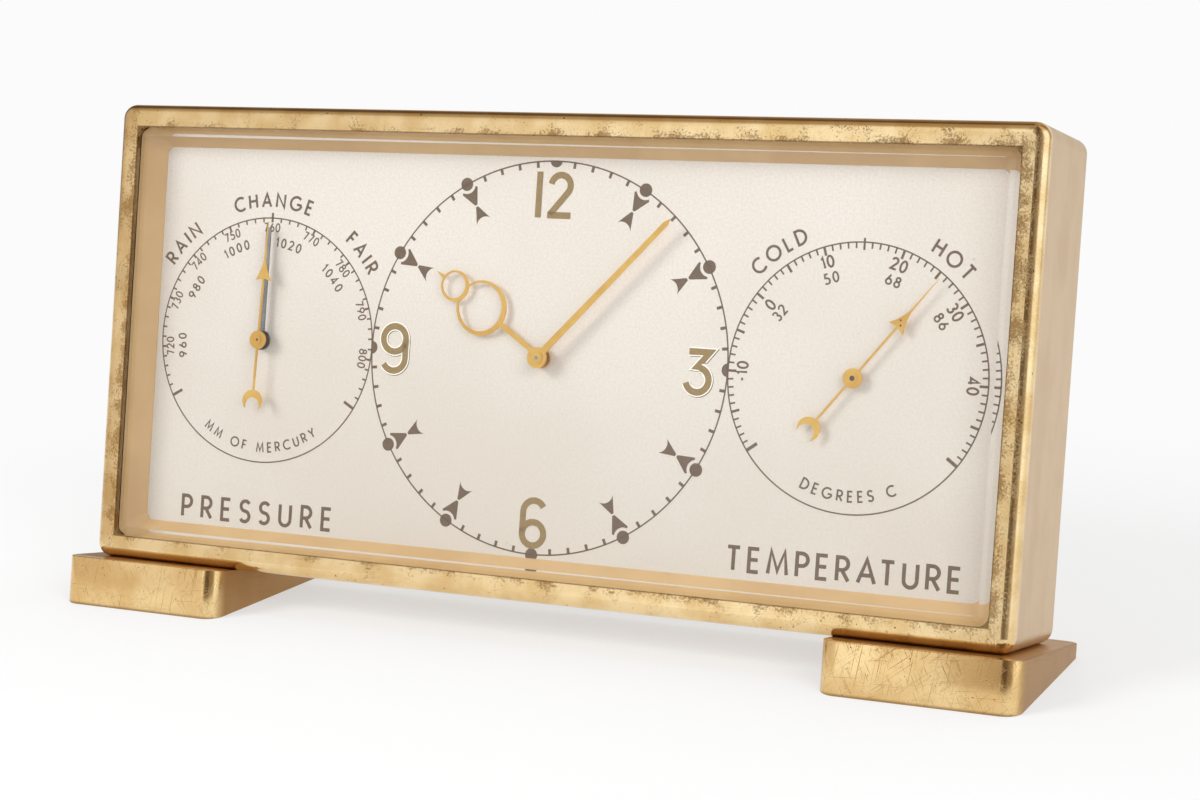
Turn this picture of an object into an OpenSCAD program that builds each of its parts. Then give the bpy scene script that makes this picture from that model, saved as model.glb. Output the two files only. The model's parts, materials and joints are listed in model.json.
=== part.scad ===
// Table clock with a barometer and a thermometer, in a leaning brass case on two wedge feet.
// Every piece is drawn in the case's own frame: +X to the right, +Z up along the dial and +Y into
// the case, from the centre of the rim's front plane. in_case() then leans it back and stands it on
// the table. Depths (names that end in _y) count backwards from the rim's front plane.

/* [Case] */
// Width of the case
case_w = 200; // [196:1:215]
// Height of the case along the dial
case_h = 96.3; // [95:0.1:104]
// Depth of the case
case_d = 30; // [29.8:0.1:36]
// Angle that the case leans back
lean = 9.5; // [7:0.5:11]
// Radius of the case's four corners, seen from the front
case_corner_r = 3; // [2.8:0.1:6]
// Rounding of the front edge
edge_r = 2.3; // [1.5:0.1:2.7]
// Thickness of the case's walls
wall = 3.8; // [3.6:0.1:4.2]
// Visible width of the rim
rim_w = 4.75; // [4.5:0.05:5.2]
// Corner radius of the front opening
opening_r = 2.3; // [1.6:0.1:4]
// Thickness of the lip that holds the glass
lip_t = 1.3; // [0.8:0.1:1.35]
// Thickness of the back cover
cover_t = 1.2; // [0.8:0.1:1.4]
// Width of the ledge that the back cover is screwed to
ledge_w = 2.3; // [2:0.1:2.6]

/* [Feet] */
// Width of a foot
foot_w = 38; // [34:0.5:46]
// How far a foot stands out beside the case
foot_beside = 3.3; // [2:0.1:8]
// How far a foot stands out in front of the case
foot_ahead = 5.7; // [3:0.1:9]
// How far a foot stands out behind the case
foot_behind = 10.2; // [6:0.1:11]
// Height of a foot's front face
foot_h = 10.15; // [9.8:0.05:13]
// Radius of a foot's upright corners
foot_corner_r = 3.6; // [2:0.1:5]

/* [Glass] */
// Thickness of the glass
glass_t = 3.5; // [3:0.1:3.8]
// Width of the glass's bevel
bevel_w = 2.6; // [2:0.1:3.4]
// Depth of the glass's bevel
bevel_d = 2; // [1.8:0.1:2.4]
// Thickness of the seal behind the glass
seal_t = 0.3; // [0.2:0.05:0.5]

/* [Dial] */
// Depth of the dial's face behind the rim
dial_y = 8; // [7.9:0.05:8.4]
// Thickness of the dial plate
dial_t = 0.8; // [0.6:0.05:1]
// Width of the slanted wall between the glass and the dial
surround_w = 3.5; // [2.5:0.1:4]
// Radius of the hour ring
hour_ring_r = 39.2; // [38.6:0.1:39.4]
// Radius of the barometer's and the thermometer's rings
side_ring_r = 25.6; // [25.2:0.1:26]
// Height of the hour numerals
numeral_h = 9.05; // [7.5:0.05:10]
// Width of the numerals' strokes
numeral_stroke = 1.3; // [0.9:0.05:1.5]
// Thickness of the raised numerals
numeral_t = 0.3; // [0.15:0.05:0.5]

/* [Hands] */
// Thickness of every hand
hand_t = 0.35; // [0.2:0.05:0.45]
// Radius of the clock hands' hubs
hub_r = 2.05; // [1.8:0.05:2.6]
// Length of the minute hand
minute_l = 38.8; // [34:0.1:38.8]
// Width of the minute hand at its root
minute_w = 1.4; // [1:0.1:1.8]
// Length of the hour hand
hour_l = 29.4; // [29:0.1:30]
// Width of the hour hand's arm
hour_arm_w = 1; // [0.7:0.1:1.4]
// Length of the barometer's and the thermometer's hands
side_hand_l = 24.7; // [22:0.1:25]
// Radius of the side hands' hubs
side_hub_r = 1.9; // [1.7:0.05:2.3]
// Width of the side hands' thin lines
side_line_w = 0.4; // [0.3:0.05:0.6]
// Clockwise angle of the hour hand from 12
hour_angle = 303.6; // [0:0.1:360]
// Clockwise angle of the minute hand from 12
minute_angle = 43.2; // [0:0.1:360]
// Clockwise angle of the barometer's gilt hand from the top
barometer_angle = 2; // [-60:0.5:60]
// Clockwise angle of the barometer's set hand from the top
set_angle = 0.5; // [-90:0.5:90]
// Clockwise angle of the thermometer's hand from the top
thermometer_angle = 38.5; // [-120:0.5:120]

/* [Movement] */
// Thickness of the movement's two plates
plate_t = 1.5; // [1.3:0.05:1.6]
// Space between the plates
plate_gap = 9.8; // [9.7:0.05:10.2]
// Space between the dial and the front plate
motion_gap = 2.5; // [2.4:0.05:2.6]
// Radius of the balance wheel
balance_r = 7.4; // [6.5:0.1:7.6]
// Radius of the escape wheel
escape_r = 5.5; // [5.3:0.1:5.7]
// Distance from the pallet fork's pivot to the balance
fork_l = 9; // [8.9:0.1:9.4]
// Radius of the ratchet wheel
ratchet_r = 7; // [6.5:0.1:7.1]
// Length of the key's wings, tip to tip
key_w = 20; // [16:0.5:24]
// Radius of the setting knobs
knob_r = 4.5; // [3.5:0.1:6]
// Depth of the knobs and of the key behind the cover
knob_d = 6.5; // [5:0.1:8]

/* [Barometer and thermometer works] */
// Radius of the aneroid capsule
capsule_r = 17; // [14:0.5:18]
// Thickness of the capsule
capsule_t = 5; // [4:0.1:5.4]
// Outer radius of the thermometer's bimetal coil
bimetal_r = 9; // [7:0.1:10]

/* [Hidden] */

$fn = 64;
hull_fn = 32;           // smoothness of the rounded corners inside a hull
over = 1;               // overrun of every cut
run = 0.04;             // running clearance of a shaft in its hole
fit = 0.3;              // clearance of the glass and the plates in the case
shake = 0.1;            // end play of an arbor between its bearings

// The case, from front to back
cavity_w = case_w - 2 * wall;
cavity_h = case_h - 2 * wall;
cavity_r = 1.5;
opening_w = case_w - 2 * rim_w;
opening_h = case_h - 2 * rim_w;
glass_w = cavity_w - 2 * fit;
glass_h = cavity_h - 2 * fit;
surround_y = glass_t + seal_t;
dial_back = dial_y + dial_t;
cover_y = case_d - cover_t;
cover_w = cavity_w + 2 * ledge_w;
cover_h = cavity_h + 2 * ledge_w;
cover_fit = 0.15;
window_w = opening_w - 2 * surround_w;
window_h = opening_h - 2 * surround_w;
window_r = 1.8;
land_t = 0.25;

// The screws that fasten the cover and the feet
cover_screw_r = 0.7;
cover_screw_l = 5;
cover_head_r = 1.1;
cover_head_t = 0.5;
cover_screw_inset = 20;
post_r = 2.6;
post_inset = 9;
foot_screw_r = 1.5;
foot_head_r = 2.8;
foot_head_t = 1.8;
foot_thread_l = 2.8;
front_screw_y = 7.2;
rear_screw_y = 18.6;
foot_screw_ys = [front_screw_y, rear_screw_y];
seat_share = 0.45;       // of the foot's height, down to the screw head's seat
slot_w = 0.5;
slot_d = 0.3;
screw_fill_share = 0.9;  // of a threaded hole's depth that its screw fills
foot_l = foot_ahead + case_d + foot_behind;
foot_x = case_w / 2 + foot_beside - foot_w / 2;
foot_rear_h = foot_h - foot_l * tan(lean);

// The side dials
side_x = hour_ring_r + side_ring_r;
barometer_at = [-side_x, 0];
thermometer_at = [side_x, 0];

// Hands: height of each hand's front face above the dial, and its depth
hour_hand_rise = 1.55;
minute_hand_rise = 3.6;
barometer_hand_rise = 3.1;
set_hand_rise = 1.7;
thermometer_hand_rise = 1.9;
hour_hand_y = dial_y - hour_hand_rise;
minute_hand_y = dial_y - minute_hand_rise;
barometer_hand_y = dial_y - barometer_hand_rise;
set_hand_y = dial_y - set_hand_rise;
thermometer_hand_y = dial_y - thermometer_hand_rise;
minute_tip_w = 1;
minute_point_l = 1.2;
hub_t = 0.8;
hub_step = 0.1;
side_boss_r = 1.14;
set_boss_r = 2.09;
set_hand_l = 23.5;
pipe_wall = 0.42;
arbor_end_r = 0.6;
cannon_r = arbor_end_r + run + pipe_wall;
hour_pipe_r = cannon_r + run + pipe_wall;
// The hour hand's two rings: a large one near the hub and a small one on its far side
hour_ring_at = 16.7;
hour_hand_ring_r = 5.55;
hour_ring_hole_r = 4.85;
hour_ring_shift = 0.33;
hour_small_at = 24.2;
hour_small_r = 3.15;
hour_small_hole_r = 2.6;
hour_small_shift = 0.22;
hour_point_w = 0.9;
// The side hands' arrows and crescents
arrow_at = 12.85;
arrow_l = 4;
arrow_half_w = 1.85;
arrow_notch = 0.45;
arrow_waist_shares = [[1, 0], [0.58, 0.33], [0.3, 0.67]];
crescent_at = 12.8;
crescent_r = 2.3;
crescent_hole_r = 1.75;
crescent_shift = 1;
set_bar_w = 1.1;
side_arbor_r = 0.5;
set_pipe_r = side_arbor_r + run + pipe_wall;

// The raised hour numerals: the middle of each, and the widths that go with numeral_h
numeral_12_z = 32.4;
numeral_6_z = -32.8;
numeral_3_x = 33.3;
numeral_3_z = -0.6;
numeral_9_x = -33.9;
numeral_one_x = -3.4;
numeral_two_x = 1.25;
numeral_bowl_share = 0.6;
two_foot_share = 0.65;
three_waist_share = 0.2;
three_top_share = 0.2;
three_bar_share = 0.85;
three_corner_share = 0.7;
numeral_bowl_w = numeral_h * numeral_bowl_share;

// Gears: involute teeth with a low addendum, so that small pinions mesh without undercut
pressure = 25;
addendum_share = 0.7;
dedendum_share = 0.95;
backlash = 0.045;
spoke_w = 0.7;
pivot_r = 0.35;
staff_pivot_r = 0.21;
arbor_r = 0.7;
wheel_boss_r = 1.54;
wheel_rim_w = 0.84;

// The movement, from front to back
front_plate_y = dial_back + motion_gap;
train_y = front_plate_y + plate_t;
back_plate_y = train_y + plate_gap;
movement_back = back_plate_y + plate_t;
plate_w = 68;
plate_h = 60.5;
plate_corner_r = 4;
plate_x = -3.5;
plate_z = -8.25;
plate_at = [plate_x, plate_z];
pillar_r = 1.8;
pillar_inset = 4;
pillar_screw_r = 0.6;
pillar_screw_l = 2.4;
screw_head_r = 1.3;
screw_head_t = 0.7;

// Wheel train: teeth, modules and the direction in which each arbor lies from the one before it
barrel_n = 84;
inter_pinion_n = 12;
barrel_m = 0.36;
inter_n = 60;
centre_pinion_n = 15;
inter_m = 0.3;
centre_n = 75;
third_pinion_n = 10;
centre_m = 0.25;
third_n = 80;
fourth_pinion_n = 10;
third_m = 0.22;
fourth_n = 80;
escape_pinion_n = 8;
fourth_m = 0.2;
inter_dir = 230;
barrel_dir = 225;
third_dir = 60;
fourth_dir = -10;
escape_dir = -70;
fork_dir = -90;
centre_at = [0, 0];
inter_at = centre_at + polar(mesh_distance(inter_n, centre_pinion_n, inter_m), inter_dir);
barrel_at = inter_at + polar(mesh_distance(barrel_n, inter_pinion_n, barrel_m), barrel_dir);
third_at = centre_at + polar(mesh_distance(centre_n, third_pinion_n, centre_m), third_dir);
fourth_at = third_at + polar(mesh_distance(third_n, fourth_pinion_n, third_m), fourth_dir);
escape_at = fourth_at + polar(mesh_distance(fourth_n, escape_pinion_n, fourth_m), escape_dir);
// Phase of each wheel's first tooth; a pinion that is fixed to the next wheel sets that wheel's phase
third_pinion_phase = mesh_phase(third_dir, centre_n, 0, third_pinion_n);
fourth_pinion_phase = mesh_phase(fourth_dir, third_n, 0, fourth_pinion_n);
escape_pinion_phase = mesh_phase(escape_dir, fourth_n, 0, escape_pinion_n);
inter_phase = mesh_phase(inter_dir, centre_pinion_n, 0, inter_n);
inter_pinion_phase = 0;
barrel_phase = mesh_phase(barrel_dir, inter_pinion_n, inter_pinion_phase, barrel_n);

// Levels in the train, as depths behind the front plate, and widths of the wheels
wheel_t = 0.7;
pinion_t = 1.1;
barrel_level = 0.4;
barrel_d = 7;
barrel_rim_t = 1.4;
barrel_wall = 0.9;
barrel_lid_t = 0.8;
barrel_core_r = 4.2;
barrel_pivot_r = 1.6;
barrel_square_w = 3;
inter_pinion_level = 0.3;
inter_level = 8.2;
centre_pinion_level = 8;
centre_level = 5.2;
third_pinion_level = 5;
third_level = 2.6;
fourth_pinion_level = 2.4;
fourth_level = 0.8;
escape_pinion_level = 0.6;
escape_level = 4.2;
spring_t = 0.35;
spring_turns = 8;
spring_steps = 24;

// The escapement: 15 slanting teeth, and a fork whose stones hold two and a half tooth pitches
escape_teeth = 15;
escape_tooth_h = 1.3;
escape_rim_w = 0.6;
escape_root_r = escape_r - escape_tooth_h;
escape_rim_r = escape_root_r - escape_rim_w;
tooth_lean = 6;
tooth_tip_angle = 2;
tooth_foot_angle = 5;
tooth_phase = 9.6;
stone_half_span = 30;
stone_angle = 6.5;
stone_w = 2 * escape_r * sin(stone_angle / 2);
stone_l = 1.5;
stone_t = 0.5;
stone_clear = 0.06;
stone_hold_shares = [0.3, 0.75];
fork_t = 0.7;
fork_w = 0.74;
fork_boss_r = 0.9;
fork_end_l = 0.45;
pin_orbit_r = 1.6;
impulse_r = 0.2;
notch_w = 0.52;
notch_l = 1;
fork_at = escape_at + polar(escape_r / cos(stone_half_span), fork_dir);
balance_at = fork_at + polar(fork_l, fork_dir);
balance_rest = 100;
balance_rim_w = 1;
balance_t = 1.2;
balance_inset = 0.2;
balance_y = movement_back - balance_t - balance_inset;
balance_gap = 0.7;
staff_r = 0.6;
roller_r = 2.1;
roller_t = 0.5;
hairspring_in_r = 1.1;
hairspring_pitch = 0.4;
hairspring_turns = 9;
hairspring_w = 0.12;
hairspring_t = 0.5;
hairspring_gap = 0.4;
hairspring_y = movement_back + hairspring_gap;
cock_foot_t = 1.4;
cock_y = movement_back + cock_foot_t;
cock_t = 1.4;
cock_w = 5;
cock_foot_l = 12.3;
cock_dir = -52;
stud_r = 0.3;
stud_gap = 0.02;        // between a stud and the spring's end that it holds
jewel_r = 0.9;
jewel_t = 0.4;

// Winding: ratchet wheel, click and key
ratchet_n = 24;
ratchet_root_share = 0.886;
ratchet_slope_share = 0.95;
ratchet_t = 1;
ratchet_gap = 0.4;
ratchet_y = movement_back + ratchet_gap;
click_pitch_shares = [0.33, 0.6, 0.893];
click_radius_shares = [1.086, 0.943, 0.907];
click_arm_share = 1.1;
click_pivot_l = 10;
click_pivot_turn = -25;
click_arm_w = 0.9;
click_w = 2.4;
click_stud_r = 0.6;
click_tail_l = 3.4;
click_base = 60;
click_spring_w = 0.3;
click_spring_l = 9;
key_pipe_r = 2.6;
key_gap = 1.2;
key_y = case_d + key_gap;
key_wing_r = 3.1;
key_wing_t = 1.6;
key_hole_r = 1.5;

// Motion work and hand setting
cannon_n = 12;
minute_n = 36;
minute_m = 0.5;
minute_pinion_n = 10;
hour_n = 40;
hour_m = 0.48;
minute_dir = 150;
setting_dir = 120;
minute_at = centre_at + polar(mesh_distance(minute_n, cannon_n, minute_m), minute_dir);
setting_at = minute_at + polar(mesh_distance(minute_n, cannon_n, minute_m), setting_dir);
minute_phase = mesh_phase(minute_dir, cannon_n, 0, minute_n);
hour_phase = mesh_phase(minute_dir + 180, minute_pinion_n, 0, hour_n);
setting_phase = mesh_phase(setting_dir, minute_n, minute_phase, cannon_n);
hour_wheel_gap = 0.3;
hour_wheel_y = dial_back + hour_wheel_gap;
hour_wheel_t = 0.85;
motion_y = hour_wheel_y + hour_wheel_t;
setting_arbor_r = 1;
knob_gap = 1;
knob_flutes = 24;
flute_r = 0.35;

// Barometer works, from front to back
baro_plate_gap = 2.2;
baro_plate_y = dial_back + baro_plate_gap;
baro_plate_t = 1.2;
baro_plate_r = 20;
baro_back = baro_plate_y + baro_plate_t;
capsule_plate_t = 1;
capsule_plate_gap = 1.4;
capsule_plate_y = cover_y - capsule_plate_gap - capsule_plate_t;
capsule_y = capsule_plate_y - capsule_t;
capsule_ridges = 4;
capsule_ridge_h = 0.35;
capsule_boss_r = 2;
capsule_boss_t = 0.7;
baro_pillar_r = 1.3;
baro_pillar_l = 18.6;
baro_pillar_dirs = [0, 120, 240];
sector_n = 120;
baro_pinion_n = 12;
sector_m = 0.2;
sector_teeth = 14;
sector_rim_w = 1.4;
sector_spoke_share = 0.9;
sector_dir = -25;
sector_gap = 0.9;
sector_y = baro_back + sector_gap;
sector_t = 0.6;
sector_l = mesh_distance(sector_n, baro_pinion_n, sector_m);
sector_at = barometer_at + polar(sector_l, sector_dir);
sector_phase = sector_dir + 180;
baro_pinion_phase = mesh_phase(sector_dir + 180, sector_n, sector_phase, baro_pinion_n);
sector_tail_l = 3;
sector_pin_r = 0.35;
sector_pin_l = 1.1;
post_l = 1.9;
capsule_post_r = 0.8;
rocking_height = 4.6;
rocking_y = sector_y + rocking_height;
pin_gap = 0.05;
rocking_r = 0.6;
rocking_pivot_l = 1;
rocking_arm_w = 1.1;
rocking_arm_t = 0.6;
rocking_left = 4;
rocking_right = 16.3;
rocking_gap = 0.15;
finger_l = 3.3;
finger_w = 0.3;
finger_tip_w = 1.2;
finger_tip_r = 0.35;
baro_spring_gap = 0.25;
baro_spring_y = baro_back + baro_spring_gap;
baro_spring_t = 0.35;
baro_spring_w = 0.1;
baro_spring_in_r = 0.8;
baro_spring_pitch = 0.3;
baro_spring_turns = 5;
set_wheel_n = 60;
set_pinion_n = 36;
set_m = 0.4;
set_dir = 90;
set_wheel_gap = 0.5;
set_wheel_y = dial_back + set_wheel_gap;
set_wheel_t = 0.8;
set_phase = mesh_phase(set_dir, set_wheel_n, 0, set_pinion_n);
set_knob_at = barometer_at + polar(mesh_distance(set_wheel_n, set_pinion_n, set_m), set_dir);
lug_r = 3;
adjust_hole_r = 2;
adjust_screw_r = 1.2;
adjust_head_t = 0.5;
capsule_sink = 0.3;
bridge_gap = 0.8;
bridge_y = sector_y + sector_t + bridge_gap;
bridge_t = 0.8;
bridge_w = 3;
bridge_l = 7;
bridge_dir = 160;

// Thermometer works
thermo_coil_gap = 2;
thermo_coil_y = dial_back + thermo_coil_gap;
thermo_coil_d = 5;
thermo_strip_t = 0.3;
thermo_turns = 5;
thermo_collet_r = 1.6;
bracket_gap = 0.6;
bracket_y = thermo_coil_y + thermo_coil_d + bracket_gap;
bracket_t = 1;
bracket_rim_w = 4.5;
bracket_r = bimetal_r + bracket_rim_w;
thermo_stud_r = 0.7;
thermo_post_r = 1.4;
thermo_post_l = bracket_r - 1.5 * thermo_post_r;

// Where the leaning case stands: on its feet, with the middle of the whole clock at the origin
knob_back = case_d + knob_gap + knob_d;
knob_top = max(setting_at[1], set_knob_at[1]) + knob_r;
front_reach = foot_ahead * cos(lean) + (case_h / 2 + foot_h) * sin(lean);
rear_reach = max(case_d * cos(lean) + case_h / 2 * sin(lean),
                 knob_back * cos(lean) + knob_top * sin(lean));
case_z = (case_h / 2 + foot_h) * cos(lean) - foot_ahead * sin(lean);
case_y = (front_reach - rear_reach) / 2;

function polar(r, a) = [r * cos(a), r * sin(a)];
function mesh_distance(n1, n2, m) = (n1 + n2) * m / 2;
// Phase of a wheel's first tooth so that it meshes with one of n1 teeth that lies in the
// direction dir from the first wheel's axis to its own
function mesh_phase(dir, n1, phase1, n2) =
    dir + 180 + (0.5 - (phase1 - dir) * n1 / 360) * 360 / n2;
function involute(a) = tan(a) * 180 / PI - a;
function tooth_half_angle(r, n, m) =
    let (pitch_r = n * m / 2, base_r = pitch_r * cos(pressure))
    (PI * m / 2 - backlash) / (2 * pitch_r) * 180 / PI
    + involute(pressure) - involute(r > base_r ? acos(base_r / r) : 0);
// Radii at which a tooth's flank has a point, from its root to its tip
function flank_radii(n, m) =
    let (pitch_r = n * m / 2, base_r = pitch_r * cos(pressure),
         root_r = pitch_r - dedendum_share * m, tip_r = pitch_r + addendum_share * m)
    root_r < base_r ? [root_r, base_r, pitch_r, tip_r] : [root_r, pitch_r, tip_r];
function tooth_points(n, m, centre) =
    let (radii = flank_radii(n, m), last = len(radii) - 1)
    concat(
        [for (i = [0:last]) polar(radii[i], centre - tooth_half_angle(radii[i], n, m))],
        [for (i = [last:-1:0]) polar(radii[i], centre + tooth_half_angle(radii[i], n, m))]);
// A flat strip wound in a spiral, as an outline
function spiral_points(r, pitch, turns, w) =
    let (n = turns * spring_steps)
    concat(
        [for (i = [0:n]) polar(r + pitch * i / spring_steps, 360 * i / spring_steps)],
        [for (i = [n:-1:0]) polar(r + w + pitch * i / spring_steps, 360 * i / spring_steps)]);

module in_case() {
    translate([0, case_y, case_z]) rotate([-lean, 0, 0]) children();
}
// A flat shape, drawn as seen from the front, from one depth to another
module slab(from_y, to_y) {
    translate([0, to_y, 0]) rotate([90, 0, 0]) linear_extrude(height = to_y - from_y) children();
}
module rod(at, r, from_y, to_y) {
    translate([at[0], to_y, at[1]]) rotate([90, 0, 0]) cylinder(r = r, h = to_y - from_y);
}
// A profile of radius and depth, turned about an axis that runs into the case
module spun(at) {
    translate([at[0], 0, at[1]]) rotate([-90, 0, 0]) rotate_extrude() children();
}
module round_rect(w, h, r) {
    square([w - 2 * r, h], center = true);
    square([w, h - 2 * r], center = true);
    for (x = [-1, 1], z = [-1, 1]) translate([x * (w / 2 - r), z * (h / 2 - r)]) circle(r = r);
}
module ring(outer, inner) {
    difference() {
        circle(r = outer);
        circle(r = inner);
    }
}
// A slotted screw that points forwards, with its head's back face at head_y
module screw(at, head_y, head_r, head_t, shank_r, shank_l) {
    difference() {
        union() {
            rod(at, head_r, head_y - head_t, head_y);
            rod(at, shank_r, head_y - head_t - shank_l, head_y - head_t);
        }
        slab(head_y - slot_d, head_y + over)
            translate(at) square([2 * (head_r + over), slot_w], center = true);
    }
}
module gear_shape(n, m, phase) {
    polygon([for (i = [0:n - 1]) each tooth_points(n, m, phase + 360 * i / n)]);
}
// Windows between the spokes of a wheel
module spoke_windows(inner, outer, spokes) {
    difference() {
        ring(outer, inner);
        for (i = [0:spokes - 1]) rotate(360 * i / spokes)
            translate([0, -spoke_w / 2]) square([outer, spoke_w]);
    }
}
module wheel_shape(n, m, phase, inner, rim_w, spokes) {
    difference() {
        gear_shape(n, m, phase);
        rotate(phase) spoke_windows(inner, (n / 2 - dedendum_share) * m - rim_w, spokes);
    }
}
// An arbor between the plates, with a pivot at each end
module plain_arbor(at) {
    rod(at, arbor_r, train_y + shake, back_plate_y - shake);
    rod(at, pivot_r, front_plate_y + shake, train_y + shake);
    rod(at, pivot_r, back_plate_y - shake, movement_back - shake);
}
module train_piece(at, n, m, phase, level, pinion_n, pinion_m, pinion_phase, pinion_level) {
    plain_arbor(at);
    slab(train_y + level, train_y + level + wheel_t) translate(at)
        wheel_shape(n, m, phase, wheel_boss_r, wheel_rim_w, 5);
    slab(train_y + pinion_level, train_y + pinion_level + pinion_t) translate(at)
        gear_shape(pinion_n, pinion_m, pinion_phase);
}
module knob(at) {
    slab(case_d + knob_gap, knob_back) translate(at) difference() {
        circle(r = knob_r);
        circle(r = setting_arbor_r);
        for (i = [0:knob_flutes - 1]) rotate(360 * (i + 0.5) / knob_flutes)
            translate([knob_r, 0]) circle(r = flute_r);
    }
}

// The case: one piece with a rounded front edge, a lip over the glass and a rebate for the cover
module case_front_edge() {
    inner_w = case_w - 2 * case_corner_r;
    inner_h = case_h - 2 * case_corner_r;
    slab(0, edge_r) round_rect(case_w - 2 * edge_r, case_h - 2 * edge_r, case_corner_r - edge_r);
    for (z = [-1, 1]) translate([-inner_w / 2, edge_r, z * (case_h / 2 - edge_r)])
        rotate([0, 90, 0]) cylinder(r = edge_r, h = inner_w);
    for (x = [-1, 1]) translate([x * (case_w / 2 - edge_r), edge_r, -inner_h / 2])
        cylinder(r = edge_r, h = inner_h);
    for (x = [-1, 1], z = [-1, 1]) spun([x * inner_w / 2, z * inner_h / 2])
        intersection() {
            translate([case_corner_r - edge_r, edge_r]) circle(r = edge_r);
            square([case_corner_r, 2 * edge_r]);
        }
}
cover_screw_xs = [-case_w / 2 + cover_screw_inset, 0, case_w / 2 - cover_screw_inset];
cover_screw_z = cavity_h / 2 + ledge_w / 2;
module case_shell() {
    color("#c8a455") in_case() difference() {
        union() {
            case_front_edge();
            slab(edge_r, case_d) round_rect(case_w, case_h, case_corner_r);
        }
        slab(-over, lip_t + over) round_rect(opening_w, opening_h, opening_r);
        slab(lip_t, case_d + over) round_rect(cavity_w, cavity_h, cavity_r);
        slab(cover_y, case_d + over) round_rect(cover_w, cover_h, cavity_r);
        for (x = cover_screw_xs, z = [-1, 1])
            rod([x, z * cover_screw_z], cover_screw_r, cover_y - cover_screw_l, cover_y + over);
        for (x = [-1, 1], y = foot_screw_ys) translate([x * foot_x, y, -case_h / 2 - over])
            cylinder(r = foot_screw_r, h = foot_thread_l + over);
    }
}

// The glass: a plate whose front edge is bevelled all round
module crystal() {
    color("#e8eef0", 0.3) in_case() hull() {
        slab(bevel_d, glass_t) round_rect(glass_w, glass_h, cavity_r, $fn = hull_fn);
        slab(0, bevel_d) round_rect(glass_w - 2 * bevel_w, glass_h - 2 * bevel_w, cavity_r / 2,
                                    $fn = hull_fn);
    }
}
module glass_seal() {
    color("#3a3a38") in_case() slab(glass_t, surround_y) difference() {
        round_rect(glass_w, glass_h, cavity_r);
        round_rect(opening_w, opening_h, opening_r);
    }
}
// The slanted frame between the glass and the dial, with a narrow upright land at the dial
land_y = dial_y - land_t;
module dial_surround() {
    color("#a98a5a") in_case() difference() {
        slab(surround_y, dial_y) round_rect(glass_w, glass_h, cavity_r);
        hull() {
            slab(surround_y - over, surround_y)
                round_rect(opening_w, opening_h, opening_r, $fn = hull_fn);
            slab(land_y - run, land_y) round_rect(window_w, window_h, window_r, $fn = hull_fn);
        }
        slab(land_y - run, dial_y + over) round_rect(window_w, window_h, window_r, $fn = hull_fn);
    }
}
// Shares of the movement plate's width and height, from its middle
dial_foot_shares = [[-0.345, -0.39], [0.42, -0.41], [0.3, 0.415]];
dial_foot_r = 1.5;
module dial_plate() {
    color("#e6ddd0") in_case() {
        difference() {
            slab(dial_y, dial_back) round_rect(glass_w, glass_h, cavity_r);
            rod(centre_at, hour_pipe_r + run, dial_y - over, dial_back + over);
            rod(barometer_at, set_pipe_r + run, dial_y - over, dial_back + over);
            rod(thermometer_at, side_arbor_r + run, dial_y - over, dial_back + over);
        }
        for (share = dial_foot_shares)
            rod(plate_at + [share[0] * plate_w, share[1] * plate_h], dial_foot_r, dial_back,
                front_plate_y);
    }
}

// The raised numerals, each drawn about its own middle with strokes of one width
module arc_stroke(r, from_a, to_a) {
    steps = 12;
    inner = r - numeral_stroke;
    polygon(concat(
        [for (i = [0:steps]) polar(r, from_a + (to_a - from_a) * i / steps)],
        [for (i = [steps:-1:0]) polar(inner, from_a + (to_a - from_a) * i / steps)]));
}
module bar_stroke(from, to) {
    along = to - from;
    translate(from) rotate(atan2(along[1], along[0])) translate([0, -numeral_stroke / 2])
        square([norm(along), numeral_stroke]);
}
module numeral_one() {
    square([numeral_stroke, numeral_h], center = true);
}
module numeral_two() {
    r = numeral_bowl_w / 2;
    bowl = [0, numeral_h / 2 - r];
    foot = [-r + numeral_stroke * two_foot_share, -numeral_h / 2 + numeral_stroke / 2];
    translate(bowl) arc_stroke(r, -38, 195);
    bar_stroke(foot, bowl + polar(r - numeral_stroke / 2, -36));
    translate([0, -numeral_h / 2 + numeral_stroke / 2]) square([2 * r, numeral_stroke], center = true);
}
module numeral_three() {
    r = numeral_bowl_w / 2;
    bowl = [0, -numeral_h / 2 + r];
    top = numeral_h / 2 - numeral_stroke / 2;
    waist = bowl + [-r * three_waist_share, r - numeral_stroke / 2];
    translate(bowl) arc_stroke(r, -158, 98);
    translate([numeral_stroke * three_top_share, top])
        square([2 * r * three_bar_share, numeral_stroke], center = true);
    bar_stroke(waist, [r - numeral_stroke * three_corner_share, top]);
}
module numeral_six() {
    r = numeral_bowl_w / 2;
    bowl = [0, -numeral_h / 2 + r];
    top = [0, numeral_h / 2 - r];
    translate(bowl) ring(r, r - numeral_stroke);
    translate(top) arc_stroke(r, 30, 180);
    bar_stroke(bowl + [-r + numeral_stroke / 2, 0], top + [-r + numeral_stroke / 2, 0]);
}
module hour_numerals() {
    color("#a58a58") in_case() slab(dial_y - numeral_t, dial_y) {
        translate([numeral_one_x, numeral_12_z]) numeral_one();
        translate([numeral_two_x, numeral_12_z]) numeral_two();
        translate([numeral_3_x, numeral_3_z]) numeral_three();
        translate([0, numeral_6_z]) numeral_six();
        translate([numeral_9_x, 0]) rotate(180) numeral_six();
    }
}

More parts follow.
